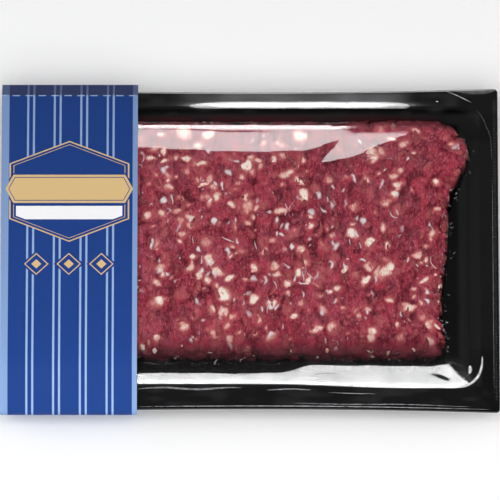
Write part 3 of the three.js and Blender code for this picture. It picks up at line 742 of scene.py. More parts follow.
def lay_lumps(places, highest, chance):
    """Lumps laid over the block.

    A place is x, y, rise, half width, half length, half height, turn, bend and lumpiness.
    """
    points = []
    faces = []
    tones = []
    painted_shades = []
    for x, y, rise, half_width, half_length, half_height, turn, bend, lumpy in places:
        waves = chance.uniform(0, 6.3, 4)
        uneven = np.sin(2.3 * ball_points[:, 0] + waves[0]) + np.sin(2.9 * ball_points[:, 1] + waves[1])
        uneven = uneven + np.sin(4.1 * ball_points[:, 0] + 3.3 * ball_points[:, 1] + waves[2])
        uneven = 1 + 0.13 * lumpy * uneven[:, None]
        shape = ball_points * uneven * (half_width, half_length, half_height)
        along = shape[:, 1] / half_length
        across = shape[:, 0] * (1 - 0.25 * lumpy * along) + bend * half_length * along * along
        flat = np.column_stack([
            x + across * math.cos(turn) - shape[:, 1] * math.sin(turn),
            y + across * math.sin(turn) + shape[:, 1] * math.cos(turn),
        ])
        relief = np.minimum(level_at(x, y) + rise + shape[:, 2], highest(flat[:, 0], flat[:, 1]))
        start = len(points) * len(ball_points)
        points.append(np.column_stack(wrap(flat[:, 0], flat[:, 1], relief)))
        faces += [tuple(start + index for index in face) for face in ball_faces]
        tones.append(np.full(len(ball_points), chance.uniform(0, 1)))
        # Each lump gets the painted shade of where it lies on the block.
        painted_shades.append(painted_shade_at(*points[-1].T))
    return np.concatenate(points), faces, {"tone": np.concatenate(tones), "painted_shade": np.concatenate(painted_shades)}


def under_film(x, y):
    """The highest that a bit may reach: just below the film on top, and out to it on the sides."""
    return FILM_OVER_MEAT - 0.2 + (FILM_OVER_SIDE - FILM_OVER_MEAT) * ease(past_top(x, y), 2, 8)


def edge_places(count, chance, deepest):
    """Flat places round the block's sides, most of them on the right."""
    places = []
    side_start = CORE_CORNER + 2
    for _ in range(count):
        down = side_start + (deepest - 2) * chance.uniform(0, 1) ** 1.4
        if chance.uniform(0, 1) < 0.5:
            places.append((core_right + down, chance.uniform(core_front - 2, core_back + 2)))
        elif chance.uniform(0, 1) < 0.5:
            places.append((chance.uniform(-60, core_right), core_front - down))
        else:
            places.append((chance.uniform(-60, core_right), core_back + down))
    return places


chance = np.random.default_rng(301)
strand_places = []
for _ in range(LOOSE_BITS):
    half_width = chance.uniform(1.0, 1.9)
    strand_places.append((chance.uniform(-64, 90), chance.uniform(-54, 62), -0.45 * half_width, half_width,
                          half_width * chance.uniform(1.6, 3.6), half_width * 0.62, chance.normal(0, 0.4),
                          chance.normal(0, 0.18), 1))
crumb_places = []
for x, y in edge_places(CRUMB_COUNT, chance, 15):
    size = chance.uniform(0.8, 2.1)
    crumb_places.append((x, y, 0.1 * size, size, size * chance.uniform(0.9, 1.6), size * 0.95,
                         chance.uniform(0, 3.1), 0, 1.3))
fleck_places = []
for x, y, size, length, turn, rich in sorted(fat_lumps, key=lambda lump: -lump[5])[:FLECK_COUNT]:
    fleck_places.append((x, y, -0.42 * size, size * 0.6, length * 0.6, size * 0.5, turn,
                         chance.normal(0, 0.2), 1.3))
for x, y in edge_places(EDGE_FLECK_COUNT, chance, 14):
    size = chance.uniform(0.4, 0.9)
    fleck_places.append((x, y, 0.3, size, size * chance.uniform(0.9, 1.6), size,
                         chance.uniform(0, 3), 0, 1.5))
thread_places = []
for x, y in fat_places(THREAD_COUNT, 303):
    thread_places.append((x, y, -0.08, chance.uniform(0.16, 0.36), chance.uniform(1.2, 3.4), 0.3,
                          chance.normal(0, 0.6), chance.normal(0, 0.35), 1))

# Loose lean is the same meat as the block, and each bit has a tone of its own. Its fibres are drawn 1.1 mm
# wide to show. It is painted darker down the block's sides and towards its long edges, as shade.
loose_lean, tree, shader = new_finish("loose_raw_lean")
place = add_node(tree, "ShaderNodeTexCoord")
tone = add_node(tree, "ShaderNodeAttribute", {"attribute_name": "tone"})
fibre = add_node(tree, "ShaderNodeTexNoise",
                 {"Scale": pattern_scale(1.111), "Detail": 4, "Roughness": 0.65, "Distortion": 0.8},
                 {"Vector": place.outputs["Object"]})
lean = add_node(tree, "ShaderNodeMix",
                {"data_type": "RGBA", 6: linear_colour("#74232f"), 7: linear_colour("#a8484f")},
                {0: tone.outputs["Fac"]})
marbled = add_node(tree, "ShaderNodeMapRange", {"From Min": 0.45, "From Max": 0.8, "To Max": 0.6},
                   {"Value": fibre.outputs["Fac"]})
lean = add_node(tree, "ShaderNodeMix", {"data_type": "RGBA", 7: linear_colour("#c98a86")},
                {0: marbled.outputs["Result"], 6: lean.outputs[2]})
# Painted shade, as on the block.
shade_amount = add_node(tree, "ShaderNodeAttribute", {"attribute_name": "painted_shade"})
painted_shading = [
    (0.0, 0.62, "#4c141f", 0.85),
    (0.58, 1.14, "#170e11", 0.95),
    (1.0, 1.25, "#060405", 1.0),
]
for start, end, colour, most in painted_shading:
    shown = add_node(tree, "ShaderNodeMapRange", {"From Min": start, "From Max": end, "To Max": most},
                     {"Value": shade_amount.outputs["Fac"]})
    lean = add_node(tree, "ShaderNodeMix", {"data_type": "RGBA", 7: linear_colour(colour)},
                    {0: shown.outputs["Result"], 6: lean.outputs[2]})
grainy = add_node(tree, "ShaderNodeBump", {"Strength": 0.5, "Distance": 0.3 * MM},
                  {"Height": fibre.outputs["Fac"]})
tree.links.new(lean.outputs[2], shader.inputs["Base Color"])
tree.links.new(grainy.outputs["Normal"], shader.inputs["Normal"])
shader.inputs["Roughness"].default_value = 0.5
shader.inputs["IOR"].default_value = 1.38
shader.inputs["Specular IOR Level"].default_value = 0.08

# Hard beef fat: waxy and pale, cream to peach, stained by the lean in patches of 1.6 mm, and painted darker
# down the block's sides and towards its long edges, as shade.
hard_fat, tree, shader = new_finish("cut_hard_fat")
place = add_node(tree, "ShaderNodeTexCoord")
tone = add_node(tree, "ShaderNodeAttribute", {"attribute_name": "tone"})
marbling = add_node(tree, "ShaderNodeTexNoise",
                    {"Scale": pattern_scale(1.613), "Detail": 4, "Roughness": 0.6},
                    {"Vector": place.outputs["Object"]})
waxy = add_node(tree, "ShaderNodeMix",
                {"data_type": "RGBA", 6: linear_colour("#e6b09c"), 7: linear_colour("#f8ebe0")},
                {0: tone.outputs["Fac"]})
stained = add_node(tree, "ShaderNodeMapRange", {"From Min": 0.48, "From Max": 0.72, "To Max": 0.75},
                   {"Value": marbling.outputs["Fac"]})
waxy = add_node(tree, "ShaderNodeMix", {"data_type": "RGBA", 7: linear_colour("#cf8076")},
                {0: stained.outputs["Result"], 6: waxy.outputs[2]})
# Painted shade, as on the block.
shade_amount = add_node(tree, "ShaderNodeAttribute", {"attribute_name": "painted_shade"})
shade_part = add_node(tree, "ShaderNodeMath", {"operation": "MULTIPLY", 1: 0.8},
                      {0: shade_amount.outputs["Fac"]})
waxy = add_node(tree, "ShaderNodeMix", {"data_type": "RGBA", 7: linear_colour("#2c1012")},
                {0: shade_part.outputs[0], 6: waxy.outputs[2]})
soft_bump = add_node(tree, "ShaderNodeBump", {"Strength": 0.4, "Distance": 0.3 * MM},
                     {"Height": marbling.outputs["Fac"]})
tree.links.new(waxy.outputs[2], shader.inputs["Base Color"])
tree.links.new(soft_bump.outputs["Normal"], shader.inputs["Normal"])
shader.inputs["Roughness"].default_value = 0.45
shader.inputs["IOR"].default_value = 1.45
shader.inputs["Specular IOR Level"].default_value = 0.25

# Torn sinew: greyish white and silky, its threads drawn 0.8 mm apart to show.
silky_sinew, tree, shader = new_finish("torn_white_sinew")
place = add_node(tree, "ShaderNodeTexCoord")
strands = add_node(tree, "ShaderNodeTexNoise", {"Scale": pattern_scale(0.8333), "Detail": 2},
                   {"Vector": place.outputs["Object"]})
pale = add_node(tree, "ShaderNodeMix",
                {"data_type": "RGBA", 6: linear_colour("#b98d93"), 7: linear_colour("#ece2e0")},
                {0: strands.outputs["Fac"]})
tree.links.new(pale.outputs[2], shader.inputs["Base Color"])
shader.inputs["Roughness"].default_value = 0.4
shader.inputs["IOR"].default_value = 1.4
loose_kinds = [
    ("mince_strands", strand_places, loose_lean),
    ("mince_crumbs", crumb_places, loose_lean),
    ("fat_flecks", fleck_places, hard_fat),
    ("sinew_threads", thread_places, silky_sinew),
]
for name, places, finish in loose_kinds:
    points, faces, values = lay_lumps(places, under_film, chance)
    piece = make_piece(name, points, faces, finish, values)
    piece.visible_glossy = False
    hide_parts("mince")

# Film.
# A clear polyethylene skin film, drawn down over the meat under vacuum and sealed to the flange.
# It lies flat on the flange, dips between rim and meat, and follows the top of the block.
FILM_LIFT = 0.15
FILM_FOOT_LEVEL = 15.0
TRENCH_STEPS = 34
FILM_SIDE_STEPS = 8
FILM_SHOULDER_STEPS = 11
FILM_PLAN = (
    core_left - CORE_CORNER,
    core_right + CORE_CORNER,
    core_front - CORE_CORNER,
    core_back + CORE_CORNER,
    CORE_CORNER,
    np.array,
)
flange_level = RIM_LEVEL + FILM_LIFT
film_rings = []
film_edge = outline(FLANGE_PLAN, LIP_RADIUS)
film_rim = outline(CAVITY_PLAN)
at_front = ease(-film_rim[:, 1:], 40, 64)
film_rim = film_rim * (1 - at_front) + outline(CAVITY_PLAN, -1.1) * at_front
for part in np.concatenate([np.linspace(0, 0.95, 12), [0.975, 1]]):
    ring = level_ring(film_edge + (film_rim - film_edge) * part, flange_level)
    ripple = 0.05 * gentle_noise(ring[:, 0], ring[:, 1], 13, 61)
    ring[:, 2] += rim_rise(ring) + ripple * ease(part, 0.1, 0.5)
    film_rings.append(ring)


def film_on_block(past):
    """A ring of film, a given length past the edge of the block's flat top.

    It bridges the back shoulder, and is drawn tight over the others.
    """
    flat = outline(FILM_PLAN, -past)
    swell = 0.12 * gentle_noise(flat[:, 0], flat[:, 1], 9, 62) * ease(past, -50, -40)
    swell = swell + 0.4 * gentle_noise(flat[:, 0], flat[:, 1], 3.4, 64) * ease(past, 1.5, 6)
    bridged = (SHOULDER + FILM_OVER_MEAT) / math.cos(min(max(past, 0) / SHOULDER, 1.2)) - SHOULDER
    drawn_tight = FILM_OVER_MEAT + (FILM_OVER_SIDE - FILM_OVER_MEAT) * ease(past, 0, 6)
    at_back = ease(flat[:, 1], 30, 50) * (1 - ease(flat[:, 0], 34, 46))
    over = min(bridged, FILM_OVER_SIDE) * at_back + drawn_tight * (1 - at_back)
    return np.column_stack(wrap(flat[:, 0], flat[:, 1], over + swell))


side_length = CORE_TOP - SHOULDER - FILM_FOOT_LEVEL
foot_ring = film_on_block(SHOULDER * math.pi / 2 + side_length)

# From the rim to the block's foot the film sinks slowly, is held level and then climbs. On the near
# side it leans towards the softboxes behind the pack, so a white band lies along it.
along = np.roll(foot_ring, -1, axis=0) - np.roll(foot_ring, 1, axis=0)
facing = np.column_stack([along[:, 1], -along[:, 0]])
facing = facing / np.maximum(np.linalg.norm(facing, axis=1, keepdims=True), 1e-9)
near_side = ease(-facing[:, 1], 0.2, 0.9)
rim_ring = film_rings[-1]
width = np.hypot(*(foot_ring - rim_ring)[:, :2].T)
waver = 0.05 * gentle_noise(rim_ring[:, 0], rim_ring[:, 1], 11, 63)
held_until = 0.51 + 0.44 * ease(rim_ring[:, 0], 12, 34) + waver
climb_start = 0.88 + 0.075 * ease(rim_ring[:, 0], 12, 34) * near_side
trench_level = rim_ring[:, 2].copy()
for step in range(1, TRENCH_STEPS):
    part = step / TRENCH_STEPS
    near_slope = 0.23 * ease(part, 0.0, 0.03) * (1 - ease(part, held_until, held_until + 0.08))
    other_slope = 0.36 * ease(part, 0, 0.1) * (1 - ease(part, 0.55, 0.8))
    slope = near_slope * near_side + other_slope * (1 - near_side)
    trench_level = trench_level - slope * width / TRENCH_STEPS
    ring = rim_ring + (foot_ring - rim_ring) * part
    climb = ease((part - climb_start) / (1 - climb_start), 0, 1)
    ring[:, 2] = trench_level * (1 - climb) + foot_ring[:, 2] * climb
    film_rings.append(ring)
shoulder_length = SHOULDER * math.pi / 2
for past in np.linspace(shoulder_length + side_length, shoulder_length, FILM_SIDE_STEPS):
    film_rings.append(film_on_block(past))
for past in np.linspace(shoulder_length, 0, FILM_SHOULDER_STEPS)[1:]:
    film_rings.append(film_on_block(past))
for inset in np.concatenate([np.arange(0.35, 5, 0.35), np.arange(5.2, 24, 0.7), np.arange(25, 54, 3)]):
    film_rings.append(film_on_block(-inset))
film_points = with_middle(film_rings)
film_x = film_points[:, 0]
film_y = film_points[:, 1]

# Where the film hangs loose it mirrors little: beyond the fork, on the near shoulder, at the near
# right corner and past the end of the near band.
loose_edge = ease(film_x, 42, 50) * ease(film_y, 54.5, 57) * (1 - ease(film_y, 67, 70))
dull_until = 60.3 - 3.4 * ease(film_x, 8, 30)
near_shoulder = ease(-film_y, 49, 53) * (1 - ease(-film_y - dull_until, 0, 0.7))
loose_edge = np.maximum(loose_edge, 0.9 * near_shoulder)
loose_corner = ease(film_x, 84, 88) * ease(film_y, -54, -50) * (1 - ease(film_x, 100, 103))
loose_edge = np.maximum(loose_edge, loose_corner)
past_band_end = 0.765 * (film_x - 91.5) + 0.644 * (film_y + 58.6)
past_band_end = ease(past_band_end, -0.2, 1) * ease(film_x, 84, 90) * ease(-film_y, 50, 54)
loose_edge = np.maximum(loose_edge, past_band_end)
smudges = 0.13 * gentle_noise(film_x, film_y, 6.5, 72)
smudges = smudges + 0.15 * gentle_noise(film_x, film_y * 2.2, 2.6, 73)
slit_along = (0.893 * (film_x - 88.2) - 0.45 * (film_y + 64.8)) / 5.6
slit_across = (0.45 * (film_x - 88.2) + 0.893 * (film_y + 64.8)) / 1.6
slack_slit = np.clip(2.4 * (1 - np.hypot(slit_along, slit_across)), 0, 1)
film_gloss = (1 - 0.97 * slack_slit) * (1 - 0.96 * loose_edge)
film_gloss = film_gloss * (0.95 + smudges * ease(-film_y, 56, 60))
film_gloss = film_gloss * (1 - (0.2 + 1.1 * np.abs(smudges)) * ease(film_y, 66, 68))

# It is milky where it was stretched, in the trench and in streaks on the flange, and along the far flange it
# carries a painted sheen of the lamps behind the pack. Meat juice has run under it along the far edge.
sheen_along = ease(film_x, -44, 0) * (1 - ease(film_x, 60, 78))
sheen_across = ease(film_y, 73.5, 76) * (1 - ease(film_y, 79, 81.5))
film_haze_and_sheen = sheen_along * sheen_across * (0.75 + 0.3 * gentle_noise(film_x, film_y, 9, 71))
on_flange = ease(np.abs(film_y), 68.5, 71)
in_trench = np.maximum(ease(-film_y, 52, 56), ease(film_y, 64.2, 66))
in_trench = np.maximum(in_trench, ease(film_x, 95, 98)) * (1 - on_flange)
in_trench = in_trench * (1 - ease(film_x, 106, 107.2))
film_haze_and_sheen = film_haze_and_sheen + 0.07 * in_trench
flange_streaks = np.clip(gentle_noise(film_x / 3, film_y, 2.4, 74), 0, 1)
film_haze_and_sheen = film_haze_and_sheen + 0.1 * on_flange * flange_streaks
film_juice = ease(film_y, 63, 65) * (1 - ease(film_y, 65.5, 70)) * (1 - ease(film_x, 80, 92))
film_juice = film_juice * np.clip(0.75 + 0.5 * gentle_noise(film_x, film_y * 2, 5, 75), 0, 1)
film_faces = ring_faces(len(film_rings), ring_size)

# Clear film: it shows what lies under it and mirrors the lamps where it tips towards them. Its share
# of mirrored light is that of polyethylene, 4.3% face on. The stretch marks are 6 mm apart.
FACE_ON_SHARE = 0.043
clear_film, tree, shader = new_finish("drawn_clear_film")
tree.nodes.remove(shader)
place = add_node(tree, "ShaderNodeTexCoord")
stretch = add_node(tree, "ShaderNodeTexNoise",
                   {"Scale": pattern_scale(6.25), "Detail": 3, "Roughness": 0.5},
                   {"Vector": place.outputs["Object"]})
ripples = add_node(tree, "ShaderNodeBump", {"Strength": 0.12, "Distance": 0.6 * MM},
                   {"Height": stretch.outputs["Fac"]})
gloss = add_node(tree, "ShaderNodeBsdfGlossy", {"Color": linear_colour("#ffffff"), "Roughness": 0.06},
                 {"Normal": ripples.outputs["Normal"]})
see_through = add_node(tree, "ShaderNodeBsdfTransparent", {"Color": linear_colour("#fcfcfc")})
facing_away = add_node(tree, "ShaderNodeLayerWeight", {"Blend": 0.5},
                       {"Normal": ripples.outputs["Normal"]})
grazing = add_node(tree, "ShaderNodeMath", {"operation": "POWER", 1: 5},
                   {0: facing_away.outputs["Facing"]})
mirrored = add_node(tree, "ShaderNodeMath",
                    {"operation": "MULTIPLY_ADD", 1: 1 - FACE_ON_SHARE, 2: FACE_ON_SHARE},
                    {0: grazing.outputs[0]})
gloss_here = add_node(tree, "ShaderNodeAttribute", {"attribute_name": "gloss"})
mirrored = add_node(tree, "ShaderNodeMath", {"operation": "MULTIPLY"},
                    {0: mirrored.outputs[0], 1: gloss_here.outputs["Fac"]})
film_mix = add_node(tree, "ShaderNodeMixShader", None,
                    {0: mirrored.outputs[0], 1: see_through.outputs[0], 2: gloss.outputs[0]})
# A pale diffuse layer: a painted sheen along the far flange, and milky film in the trench and the flange's
# streaks.
haze_and_sheen = add_node(tree, "ShaderNodeAttribute", {"attribute_name": "haze_and_sheen"})
haze_and_sheen_part = add_node(tree, "ShaderNodeMath", {"operation": "MULTIPLY", 1: 0.14}, {0: haze_and_sheen.outputs["Fac"]})
cloudy = add_node(tree, "ShaderNodeBsdfDiffuse", {"Color": linear_colour("#f1f1f4")})
film_mix = add_node(tree, "ShaderNodeMixShader", None,
                    {0: haze_and_sheen_part.outputs[0], 1: film_mix.outputs[0], 2: cloudy.outputs[0]})
juice = add_node(tree, "ShaderNodeAttribute", {"attribute_name": "juice"})
juice_part = add_node(tree, "ShaderNodeMath", {"operation": "MULTIPLY", 1: 0.58},
                      {0: juice.outputs["Fac"]})
wet_red = add_node(tree, "ShaderNodeBsdfDiffuse", {"Color": linear_colour("#521320")})
film_mix = add_node(tree, "ShaderNodeMixShader", None,
                    {0: juice_part.outputs[0], 1: film_mix.outputs[0], 2: wet_red.outputs[0]})
tree.links.new(film_mix.outputs[0], tree.nodes["Material Output"].inputs["Surface"])
film_values = {"haze_and_sheen": film_haze_and_sheen, "gloss": film_gloss, "juice": film_juice}
film = make_piece("skin_film", film_points, film_faces, clear_film, film_values)
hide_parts("film")

# Film creases and painted highlights.
# Where the film is folded, sealed or ribbed by the sealing bar it stands up in thin ridges, and the stretch
# whitens it. They run along the flange, round two corners and beside the right edge. Some of the same milky
# ridges are painted highlights and glints: the lines along the near flange and its rim, the arc and oval at
# the near right corner, a spot by the far right corner and the small folds beside the block's right edge.
FILM_CREASE_LIFT = 0.05
BUBBLE_COUNT = 70


def smooth_path(knots, steps):
    """Points along a smooth curve through the knots."""
    knots = np.array(knots, float)
    padded = np.vstack([2 * knots[0] - knots[1], knots, 2 * knots[-1] - knots[-2]])
    points = []
    for index in range(len(knots) - 1):
        before, start, end, after = padded[index:index + 4]
        for part in np.arange(steps) / steps:
            square = part * part
            cube = square * part
            slope = (end - before) * part
            bend = (2 * before - 5 * start + 4 * end - after) * square
            twist = (3 * start - before - 3 * end + after) * cube
            points.append(0.5 * (2 * start + slope + bend + twist))
    return np.array(points + [knots[-1]])


film_surface = BVHTree.FromPolygons(film_points.tolist(), film_faces)
crease_points = []
crease_faces = []
crease_white = []


def add_crease(knots, width, rise, white, steps=6):
    """A ridge on the film along a path seen from above. It narrows to nothing at both ends."""
    path = smooth_path(knots, steps)
    along = np.gradient(path, axis=0)
    side = np.column_stack([-along[:, 1], along[:, 0]])
    side = side / np.maximum(np.hypot(*along.T), 1e-9)[:, None]
    taper = np.sqrt(np.sin(np.linspace(0.02, math.pi - 0.02, len(path))))
    first = len(crease_points)
    for place, across, size in zip(path, side, taper):
        for offset, lift, strength in ((-1, 0, 0), (-0.4, 0.8, 1), (0.4, 0.8, 1), (1, 0, 0)):
            x, y = place + across * offset * size * width / 2
            hit = film_surface.ray_cast(Vector((x, y, 60)), Vector((0, 0, -1)))[0]
            level = hit.z if hit is not None else flange_level
            crease_points.append((x, y, level + FILM_CREASE_LIFT + lift * rise * size))
            crease_white.append(white * strength)
    for step in range(len(path) - 1):
        for column in range(3):
            a = first + step * 4 + column
            crease_faces.append((a, a + 4, a + 5, a + 1))


def near_edge(x, inset):
    """A place on the near flange, a given way in from its bowed edge."""
    along = 2 * x / (TRAY_RIGHT - TRAY_LEFT)
    return x, -(TRAY_HALF_DEPTH - TRAY_BOW * (1 - along * along)) + inset


# Painted highlights along the near flange and its rim; folds, a wide pale patch and a seal line at the far
# right corner and down the right flange; a painted highlight arc and oval at the near right corner and a
# painted glint by the far right one; and ribs across the right flange.
crease_random = np.random.default_rng(91)
# These lines along the near flange and its rim are painted highlights.
add_crease([near_edge(x, 0.85) for x in np.arange(-52, 112, 9)], 0.6, 0.05, 0.45)
add_crease([near_edge(x, 2.2 + 0.2 * math.sin(x / 9)) for x in np.arange(20, 105, 9)], 0.5, 0.06, 0.35)
add_crease([(x, -71.3 - 0.45 * math.sin(x / 5.2)) for x in np.arange(-52, 0, 4)], 1.3, 0.08, 0.28)
add_crease([(x, -71.9 - 0.3 * math.sin(x / 4)) for x in np.arange(8, 29, 4)], 0.8, 0.08, 0.35)
add_crease([(36, -73.4), (47, -73.9), (58, -74.1)], 0.45, 0.08, 0.4)
add_crease([(90.8, 81.6), (96.5, 79), (102.9, 75.5)], 0.45, 0.12, 0.6)
add_crease([(105.3, 71.6), (107.9, 67.6), (109.7, 63), (111.6, 57), (112.2, 46)], 0.4, 0.06, 0.12)
add_crease([(112.3, y) for y in np.arange(-74, 46, 10)], 0.45, 0.06, 0.16)
add_crease([(95.5, 81.5), (102, 80.9), (108, 80.9), (113.2, 81.5)], 2.6, 0.1, 0.12)
# The arc and oval at the near right corner and the spot by the far right corner are painted highlights.
add_crease([(93.5, -71.2), (100, -69.8), (104.7, -65.6), (106.7, -60), (107, -55)], 1.5, 0.1, 0.85)
add_crease([(101, -63.4), (101.4, -61.1), (101.2, -58.9)], 2.1, 0.2, 0.85)
add_crease([(86.4, 75.9), (87, 76.1), (87.5, 75.9)], 0.5, 0.1, 0.8)
for y in np.arange(-77, 78, 1.6):
    add_crease([(112.7, y), (113.5, y), (114.1, y)], 0.7, 0.08, 0.06, 2)

# Small bubbles and folds beside the block's right edge, whose white is a painted glint.
for _ in range(BUBBLE_COUNT):
    y = crease_random.uniform(-52, 56)
    x = uneven_right_edge(MINCE_RIGHT, y) + crease_random.uniform(-1.2, 1)
    x = x + 4 * crease_random.uniform(0, 1) ** 2
    bend_x, bend_y = crease_random.uniform(-0.8, 0.8, 2)
    run_x, run_y = crease_random.uniform(-1.3, 1.3, 2)
    add_crease([(x, y), (x + run_x / 2 + bend_x / 2, y + run_y / 2 + bend_y / 2), (x + run_x, y + run_y)],
               crease_random.uniform(0.3, 0.6), 0.1, crease_random.uniform(0.12, 0.5), 4)

# Stress-whitened film: milky along the fold and clear beside it, in patches of 2.4 mm. Where a ridge stands
# for a highlight or a glint, its milky white is painted light.
whitened_and_glint_film, tree, shader = new_finish("stress_whitened_and_glint_film")
tree.nodes.remove(shader)
place = add_node(tree, "ShaderNodeTexCoord")
patchy = add_node(tree, "ShaderNodeTexNoise", {"Scale": pattern_scale(2.381), "Detail": 3},
                  {"Vector": place.outputs["Object"]})
patchy_part = add_node(tree, "ShaderNodeMapRange",
                       {"From Min": 0.3, "From Max": 0.65, "To Min": 0.45, "To Max": 1.15},
                       {"Value": patchy.outputs["Fac"]})
white = add_node(tree, "ShaderNodeAttribute", {"attribute_name": "white"})
white_part = add_node(tree, "ShaderNodeMath", {"operation": "MULTIPLY", "use_clamp": True},
                      {0: white.outputs["Fac"], 1: patchy_part.outputs["Result"]})
clear = add_node(tree, "ShaderNodeBsdfTransparent")
milky = add_node(tree, "ShaderNodeBsdfDiffuse", {"Color": linear_colour("#f2f2f5")})
whitened_and_glint = add_node(tree, "ShaderNodeMixShader", None,
                    {0: white_part.outputs[0], 1: clear.outputs[0], 2: milky.outputs[0]})
tree.links.new(whitened_and_glint.outputs[0], tree.nodes["Material Output"].inputs["Surface"])
creases = make_piece("film_creases_and_glints", crease_points, crease_faces, whitened_and_glint_film,
                     {"white": crease_white})
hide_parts("film")

# Sleeve.
# A loop of 0.45 mm coated carton board round the left end of the tray, folded along the tray's
# edges and printed blue with fine pale stripes. The fold at the back has cracked the print.
CARD = 0.45
SLEEVE_LEFT = -115.05
SLEEVE_RIGHT = -52
SLEEVE_HALF_DEPTH = 84
SLEEVE_BASE_HALF_DEPTH = 67.5
FOLD_BACK = 74
FOLD_HEIGHT = 27.4
LIP_BOTTOM = 13.2
NEAR_LIP_BOTTOM = 15.2
LIP_TOP = 18.3
SLEEVE_CROWN = 28.799
TOP_STEPS = 22
SIDE_STEPS = 8
STRIPE_SPACING = 12.3
STRIPE_START = 7.45
LABEL_MIDDLE = 31.5
LOZENGE_SPACING = 15
PRINT_EDGE = 0.12
OUTSIDE = -5

# The section, anticlockwise from the near edge of the base: under the tray, up the far side, over
# the meat in one curve from the far fold to the near lip, and back down.
top_knots = [
    (FOLD_BACK, FOLD_HEIGHT),
    (10.5, SLEEVE_CROWN),
    (-53, 28.45),
    (-71, 24.6),
    (-SLEEVE_HALF_DEPTH, LIP_TOP),
]
sleeve_top = smooth_path(top_knots, TOP_STEPS)
corners = [
    (-SLEEVE_BASE_HALF_DEPTH, 0),
    (SLEEVE_BASE_HALF_DEPTH, 0),
    (SLEEVE_HALF_DEPTH, LIP_BOTTOM),
    (SLEEVE_HALF_DEPTH, LIP_TOP),
]
profile = []
for start, end in zip(corners, corners[1:] + [(FOLD_BACK, FOLD_HEIGHT)]):
    for part in np.arange(SIDE_STEPS) / SIDE_STEPS:
        profile.append(np.array(start) * (1 - part) + np.array(end) * part)
profile = np.vstack([profile, sleeve_top])
last_strip = [(-SLEEVE_HALF_DEPTH, LIP_TOP - (LIP_TOP - NEAR_LIP_BOTTOM) * part)
              for part in (0.25, 0.5, 0.75, 1)]
for part in np.arange(1, SIDE_STEPS) / SIDE_STEPS:
    drawn_in = (SLEEVE_HALF_DEPTH - SLEEVE_BASE_HALF_DEPTH) * part
    last_strip.append((-SLEEVE_HALF_DEPTH + drawn_in, NEAR_LIP_BOTTOM * (1 - part)))
profile = np.vstack([profile, last_strip])
before = profile - np.roll(profile, 1, axis=0)
after = np.roll(profile, -1, axis=0) - profile
before = before / np.linalg.norm(before, axis=1, keepdims=True)
after = after / np.linalg.norm(after, axis=1, keepdims=True)
inward = np.column_stack([-before[:, 1] - after[:, 1], before[:, 0] + after[:, 0]])
inward = inward * CARD / (1 + np.sum(before * after, axis=1, keepdims=True))
inner_profile = profile + inward
sleeve_x = np.linspace(SLEEVE_LEFT, SLEEVE_RIGHT, 48)
count = len(profile)
sleeve_points = []
for x in sleeve_x:
    sleeve_points += [(x, y, z) for y, z in profile]
for x in sleeve_x:
    sleeve_points += [(x, y, z) for y, z in inner_profile]
inside = len(sleeve_x) * count
sleeve_faces = []
for column in range(len(sleeve_x) - 1):
    for index in range(count):
        a = column * count + index
        b = column * count + (index + 1) % count
        sleeve_faces.append((a, b, b + count, a + count))
        sleeve_faces.append((inside + a, inside + a + count, inside + b + count, inside + b))
for index in range(count):
    following = (index + 1) % count
    sleeve_faces.append((index, inside + index, inside + following, following))
    end = (len(sleeve_x) - 1) * count
    sleeve_faces.append((end + index, end + following, inside + end + following, inside + end + index))

# Printed carton: an even blue ink under a thin satin varnish, with pale stripes and a plain gold label, and
# painted shade darkening the blue towards the back and past the far fold.
# The print is worked out in millimetres from the sleeve's left edge, the pack's middle and the floor.
printed_board, tree, shader = new_finish("printed_coated_board")
place = add_node(tree, "ShaderNodeTexCoord")
axes = add_node(tree, "ShaderNodeSeparateXYZ", None, {"Vector": place.outputs["Object"]})

# Distances on the print: a name, what is done, and to what.
print_distances = [
    ("from left", "MULTIPLY_ADD", "X", 1000, -SLEEVE_LEFT),
    ("from middle", "MULTIPLY", "Y", 1000),
    ("from floor", "MULTIPLY", "Z", 1000),
    ("stripe run", "ADD", "from left", STRIPE_SPACING - STRIPE_START),
    ("stripe place", "MODULO", "stripe run", STRIPE_SPACING),
    ("off pair", "SUBTRACT", "stripe place", STRIPE_SPACING / 2),
    ("from pair", "ABSOLUTE", "off pair"),
    ("off label", "SUBTRACT", "from left", LABEL_MIDDLE),
    ("across", "ABSOLUTE", "off label"),
    ("off frame", "SUBTRACT", "from middle", 24),
    ("from frame", "ABSOLUTE", "off frame"),
    ("frame slant", "MULTIPLY", "from frame", 1.06),
    ("frame end", "MULTIPLY_ADD", "across", 0.45, "frame slant"),
    ("frame", "MAXIMUM", "frame end", "across"),
    ("off plaque", "SUBTRACT", "from middle", 25.2),
    ("from plaque", "ABSOLUTE", "off plaque"),
    ("plaque end", "MULTIPLY_ADD", "from plaque", 0.5, "across"),
    ("row run", "ADD", "from left", 5.5 * LOZENGE_SPACING - LABEL_MIDDLE),
    ("row place", "MODULO", "row run", LOZENGE_SPACING),
    ("off lozenge", "SUBTRACT", "row place", LOZENGE_SPACING / 2),
    ("from lozenge", "ABSOLUTE", "off lozenge"),
    ("off row", "SUBTRACT", "from middle", -13.5),
    ("from row", "ABSOLUTE", "off row"),
    ("lozenge", "ADD", "from lozenge", "from row"),
    ("crack run", "ADD", "from left", 1.2),
    ("crack place", "MODULO", "crack run", 6),
]

